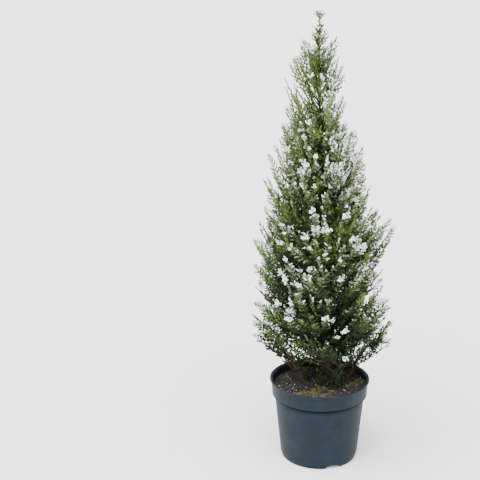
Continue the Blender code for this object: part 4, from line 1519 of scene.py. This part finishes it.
def frozen_snow(name, colour, shade, soak):
    """Frozen wet snow: white and rough, with light that soaks in at the edges. Its crystals are
    0.5 mm across, and are drawn 0.9 mm across, so that they show."""
    made, tree, shader, place = new_finish(name, Roughness=0.6, IOR=1.31)
    shader.inputs["Subsurface Weight"].default_value = soak
    shader.inputs["Subsurface Radius"].default_value = (0.004, 0.005, 0.006)
    shader.inputs["Subsurface Scale"].default_value = 1.0
    grains = patches(tree, place, 0.004, 0.35, 0.65)
    tree.links.new(mixed(tree, grains, colour, shade), shader.inputs["Base Color"])
    crystals = {"Vector": place, "Scale": 1 / 0.0009, "Detail": 3.0}
    crystals = add(tree, "ShaderNodeTexNoise", crystals)
    relief(tree, shader, crystals.outputs["Fac"], 0.0004)
    return made


rng = random.Random(23)
frosted = []
for plume in plumes:
    outward = level(plume.azimuth) + Vector((0, 0, 1.2))
    for spray in plume.sprays:
        tipward = spray.share - 1.0 + FROST_DEPTH * plume.rime
        chance = FROST_INSIDE * plume.rime + min(FROST_MOST, 1.8 * tipward)
        if spray.out > 1.0:
            chance *= 0.5
        if spray.out < 0.5 or rng.random() > chance:
            continue
        upper = spray.normal if spray.normal.dot(outward) > 0 else -spray.normal
        frosted.append(spray._replace(root=spray.root + upper * FROST_LIFT, normal=upper))
frost = frozen_snow("frosted snow", "#f2f5f6", "#bcc4c1", 0.1)
frost_bms = [frost_shape(shoots, stout, rng) for shoots, stout in zip(all_shoots, stoutness)]
deal_sprays("frost", frosted, shape_set("frost", frost_bms), frost)

caught = [spray for plume in plumes for spray in plume.sprays if spray.out > 0.7]
nearby = kdtree.KDTree(len(caught))
for i, spray in enumerate(caught):
    nearby.insert(spray.root + spray.way * spray.size * 0.6, i)
nearby.balance()
grains = []
for plume, load in laden.items():
    radius = load * CLUMP_RADIUS
    middle = plume.at(plume.total - 0.3 * radius)[0]
    found = nearby.find_range(middle, radius)
    for place, i, far in found:
        near = 1.0 - far / radius
        level_off = abs(place.z - middle.z)
        if rng.random() > 0.35 + 0.9 * near or level_off > CLUMP_FLATNESS * radius:
            continue
        spray = caught[i]
        for _ in range(round(1 + 3 * near + rng.random())):
            jog = Vector([rng.gauss(0, GRAIN_JOG) for _ in range(3)])
            width = rng.uniform(*GRAIN_WIDTHS) * (0.8 + 0.5 * near)
            along = spray.way * spray.size * rng.uniform(0.3, 1.0)
            grains.append((spray.root + along + jog, width))
    heaps = [place for place, _, _ in found if abs(place.z - middle.z) < HEAP_BAND]
    rng.shuffle(heaps)
    for place in heaps[: round(2 * load)] + [middle]:
        for _ in range(round(HEAP_GRAINS * load)):
            drop = rng.random()
            side = level(rng.uniform(0, math.tau)) * rng.random() ** 0.5 * (0.2 + 1.1 * drop)
            spot = place + (side - Vector((0, 0, 0.9 * drop - 0.5))) * HEAP_RADIUS * load ** 0.5
            grains.append((spot, rng.uniform(*HEAP_WIDTHS)))
spots = []
for i, (place, width) in enumerate(grains):
    turn = any_turn(rng)
    size = [width * rng.uniform(0.8, 1.3), width, width * rng.uniform(0.7, 1.0)]
    spots.append((place + Vector((0, 0, 0.5 * width)), turn, size, i % GRAIN_SHAPES))
grain_shapes = shape_set("snow grain", [lump(rng, 0.8) for _ in range(GRAIN_SHAPES)])
lying = frozen_snow("lying snow", "#f4f7fa", "#e6ebf0", 0.25)
clumps = dealt_out("snow_clumps", spots, grain_shapes, lying)
clumps.data.shade_smooth()
fix(clumps, foliage_nodes)


# The studio: a wide round sweep of pale paper that the pot stands on, soft even light from
# above, and the camera a little above the plant and to its left, looking down.
CAMERA_PITCH = math.radians(15.88)
CAMERA_ROLL = math.radians(-0.5)
CAMERA_LENS = 76.2
FLOOR_RADIUS = 24.0
FLOOR_FLAT_RADIUS = 6.0
FLOOR_RIM_HEIGHT = 7.5
FLOOR_RINGS = 24
LIGHT_STRENGTH = 13.8
LIGHT_SPREAD = math.radians(75)
LIGHT_WAY = Vector((0.35, 0.65, -1.5))
SKY_STRENGTH = 1.3


def studio_floor():
    """A round sweep of paper: flat under the plant, and rising gently far away from it."""
    line = []
    for i in range(FLOOR_RINGS + 1):
        radius = FLOOR_RADIUS * i / FLOOR_RINGS
        share = max(0.0, (radius - FLOOR_FLAT_RADIUS) / (FLOOR_RADIUS - FLOOR_FLAT_RADIUS))
        line.append((radius, FLOOR_RIM_HEIGHT * share ** 1.5))
    bm = turned(line, 72)
    if sum(face.normal.z for face in bm.faces) < 0.0:
        bmesh.ops.reverse_faces(bm, faces=bm.faces)
    made, tree, shader, place = new_finish("pale studio paper", Roughness=0.9)
    tooth = patches(tree, place, 0.02, 0.3, 0.7)
    tree.links.new(mixed(tree, tooth, "#cccccc", "#cacaca"), shader.inputs["Base Color"])
    return new_piece("studio_floor", bm, made)


studio_floor()
softbox = bpy.data.lights.new("overhead softbox", "SUN")
softbox.energy, softbox.angle = LIGHT_STRENGTH, LIGHT_SPREAD
key = bpy.data.objects.new("overhead softbox", softbox)
key.rotation_euler = LIGHT_WAY.to_track_quat("-Z", "Y").to_euler()
bpy.context.scene.collection.objects.link(key)

world = bpy.data.worlds.new("studio sky")
world.use_nodes = True
sky = world.node_tree.nodes["Background"].inputs
sky["Color"].default_value = (1.0, 1.0, 1.0, 1.0)
sky["Strength"].default_value = SKY_STRENGTH
bpy.context.scene.world = world

lens = bpy.data.cameras.new("camera")
lens.lens, lens.sensor_width = CAMERA_LENS, 36.0
lens.clip_start, lens.clip_end = 0.05, 50.0
camera = bpy.data.objects.new("camera", lens)
ahead = Vector((0.0, math.cos(CAMERA_PITCH), -math.sin(CAMERA_PITCH)))
right = Vector((1.0, 0.0, 0.0))
up = right.cross(ahead)
right, up = (
    right * math.cos(CAMERA_ROLL) + up * math.sin(CAMERA_ROLL),
    up * math.cos(CAMERA_ROLL) - right * math.sin(CAMERA_ROLL),
)
camera.matrix_world = Matrix.Translation(EYE) @ Matrix((right, up, -ahead)).transposed().to_4x4()
bpy.context.scene.collection.objects.link(camera)
bpy.context.scene.camera = camera
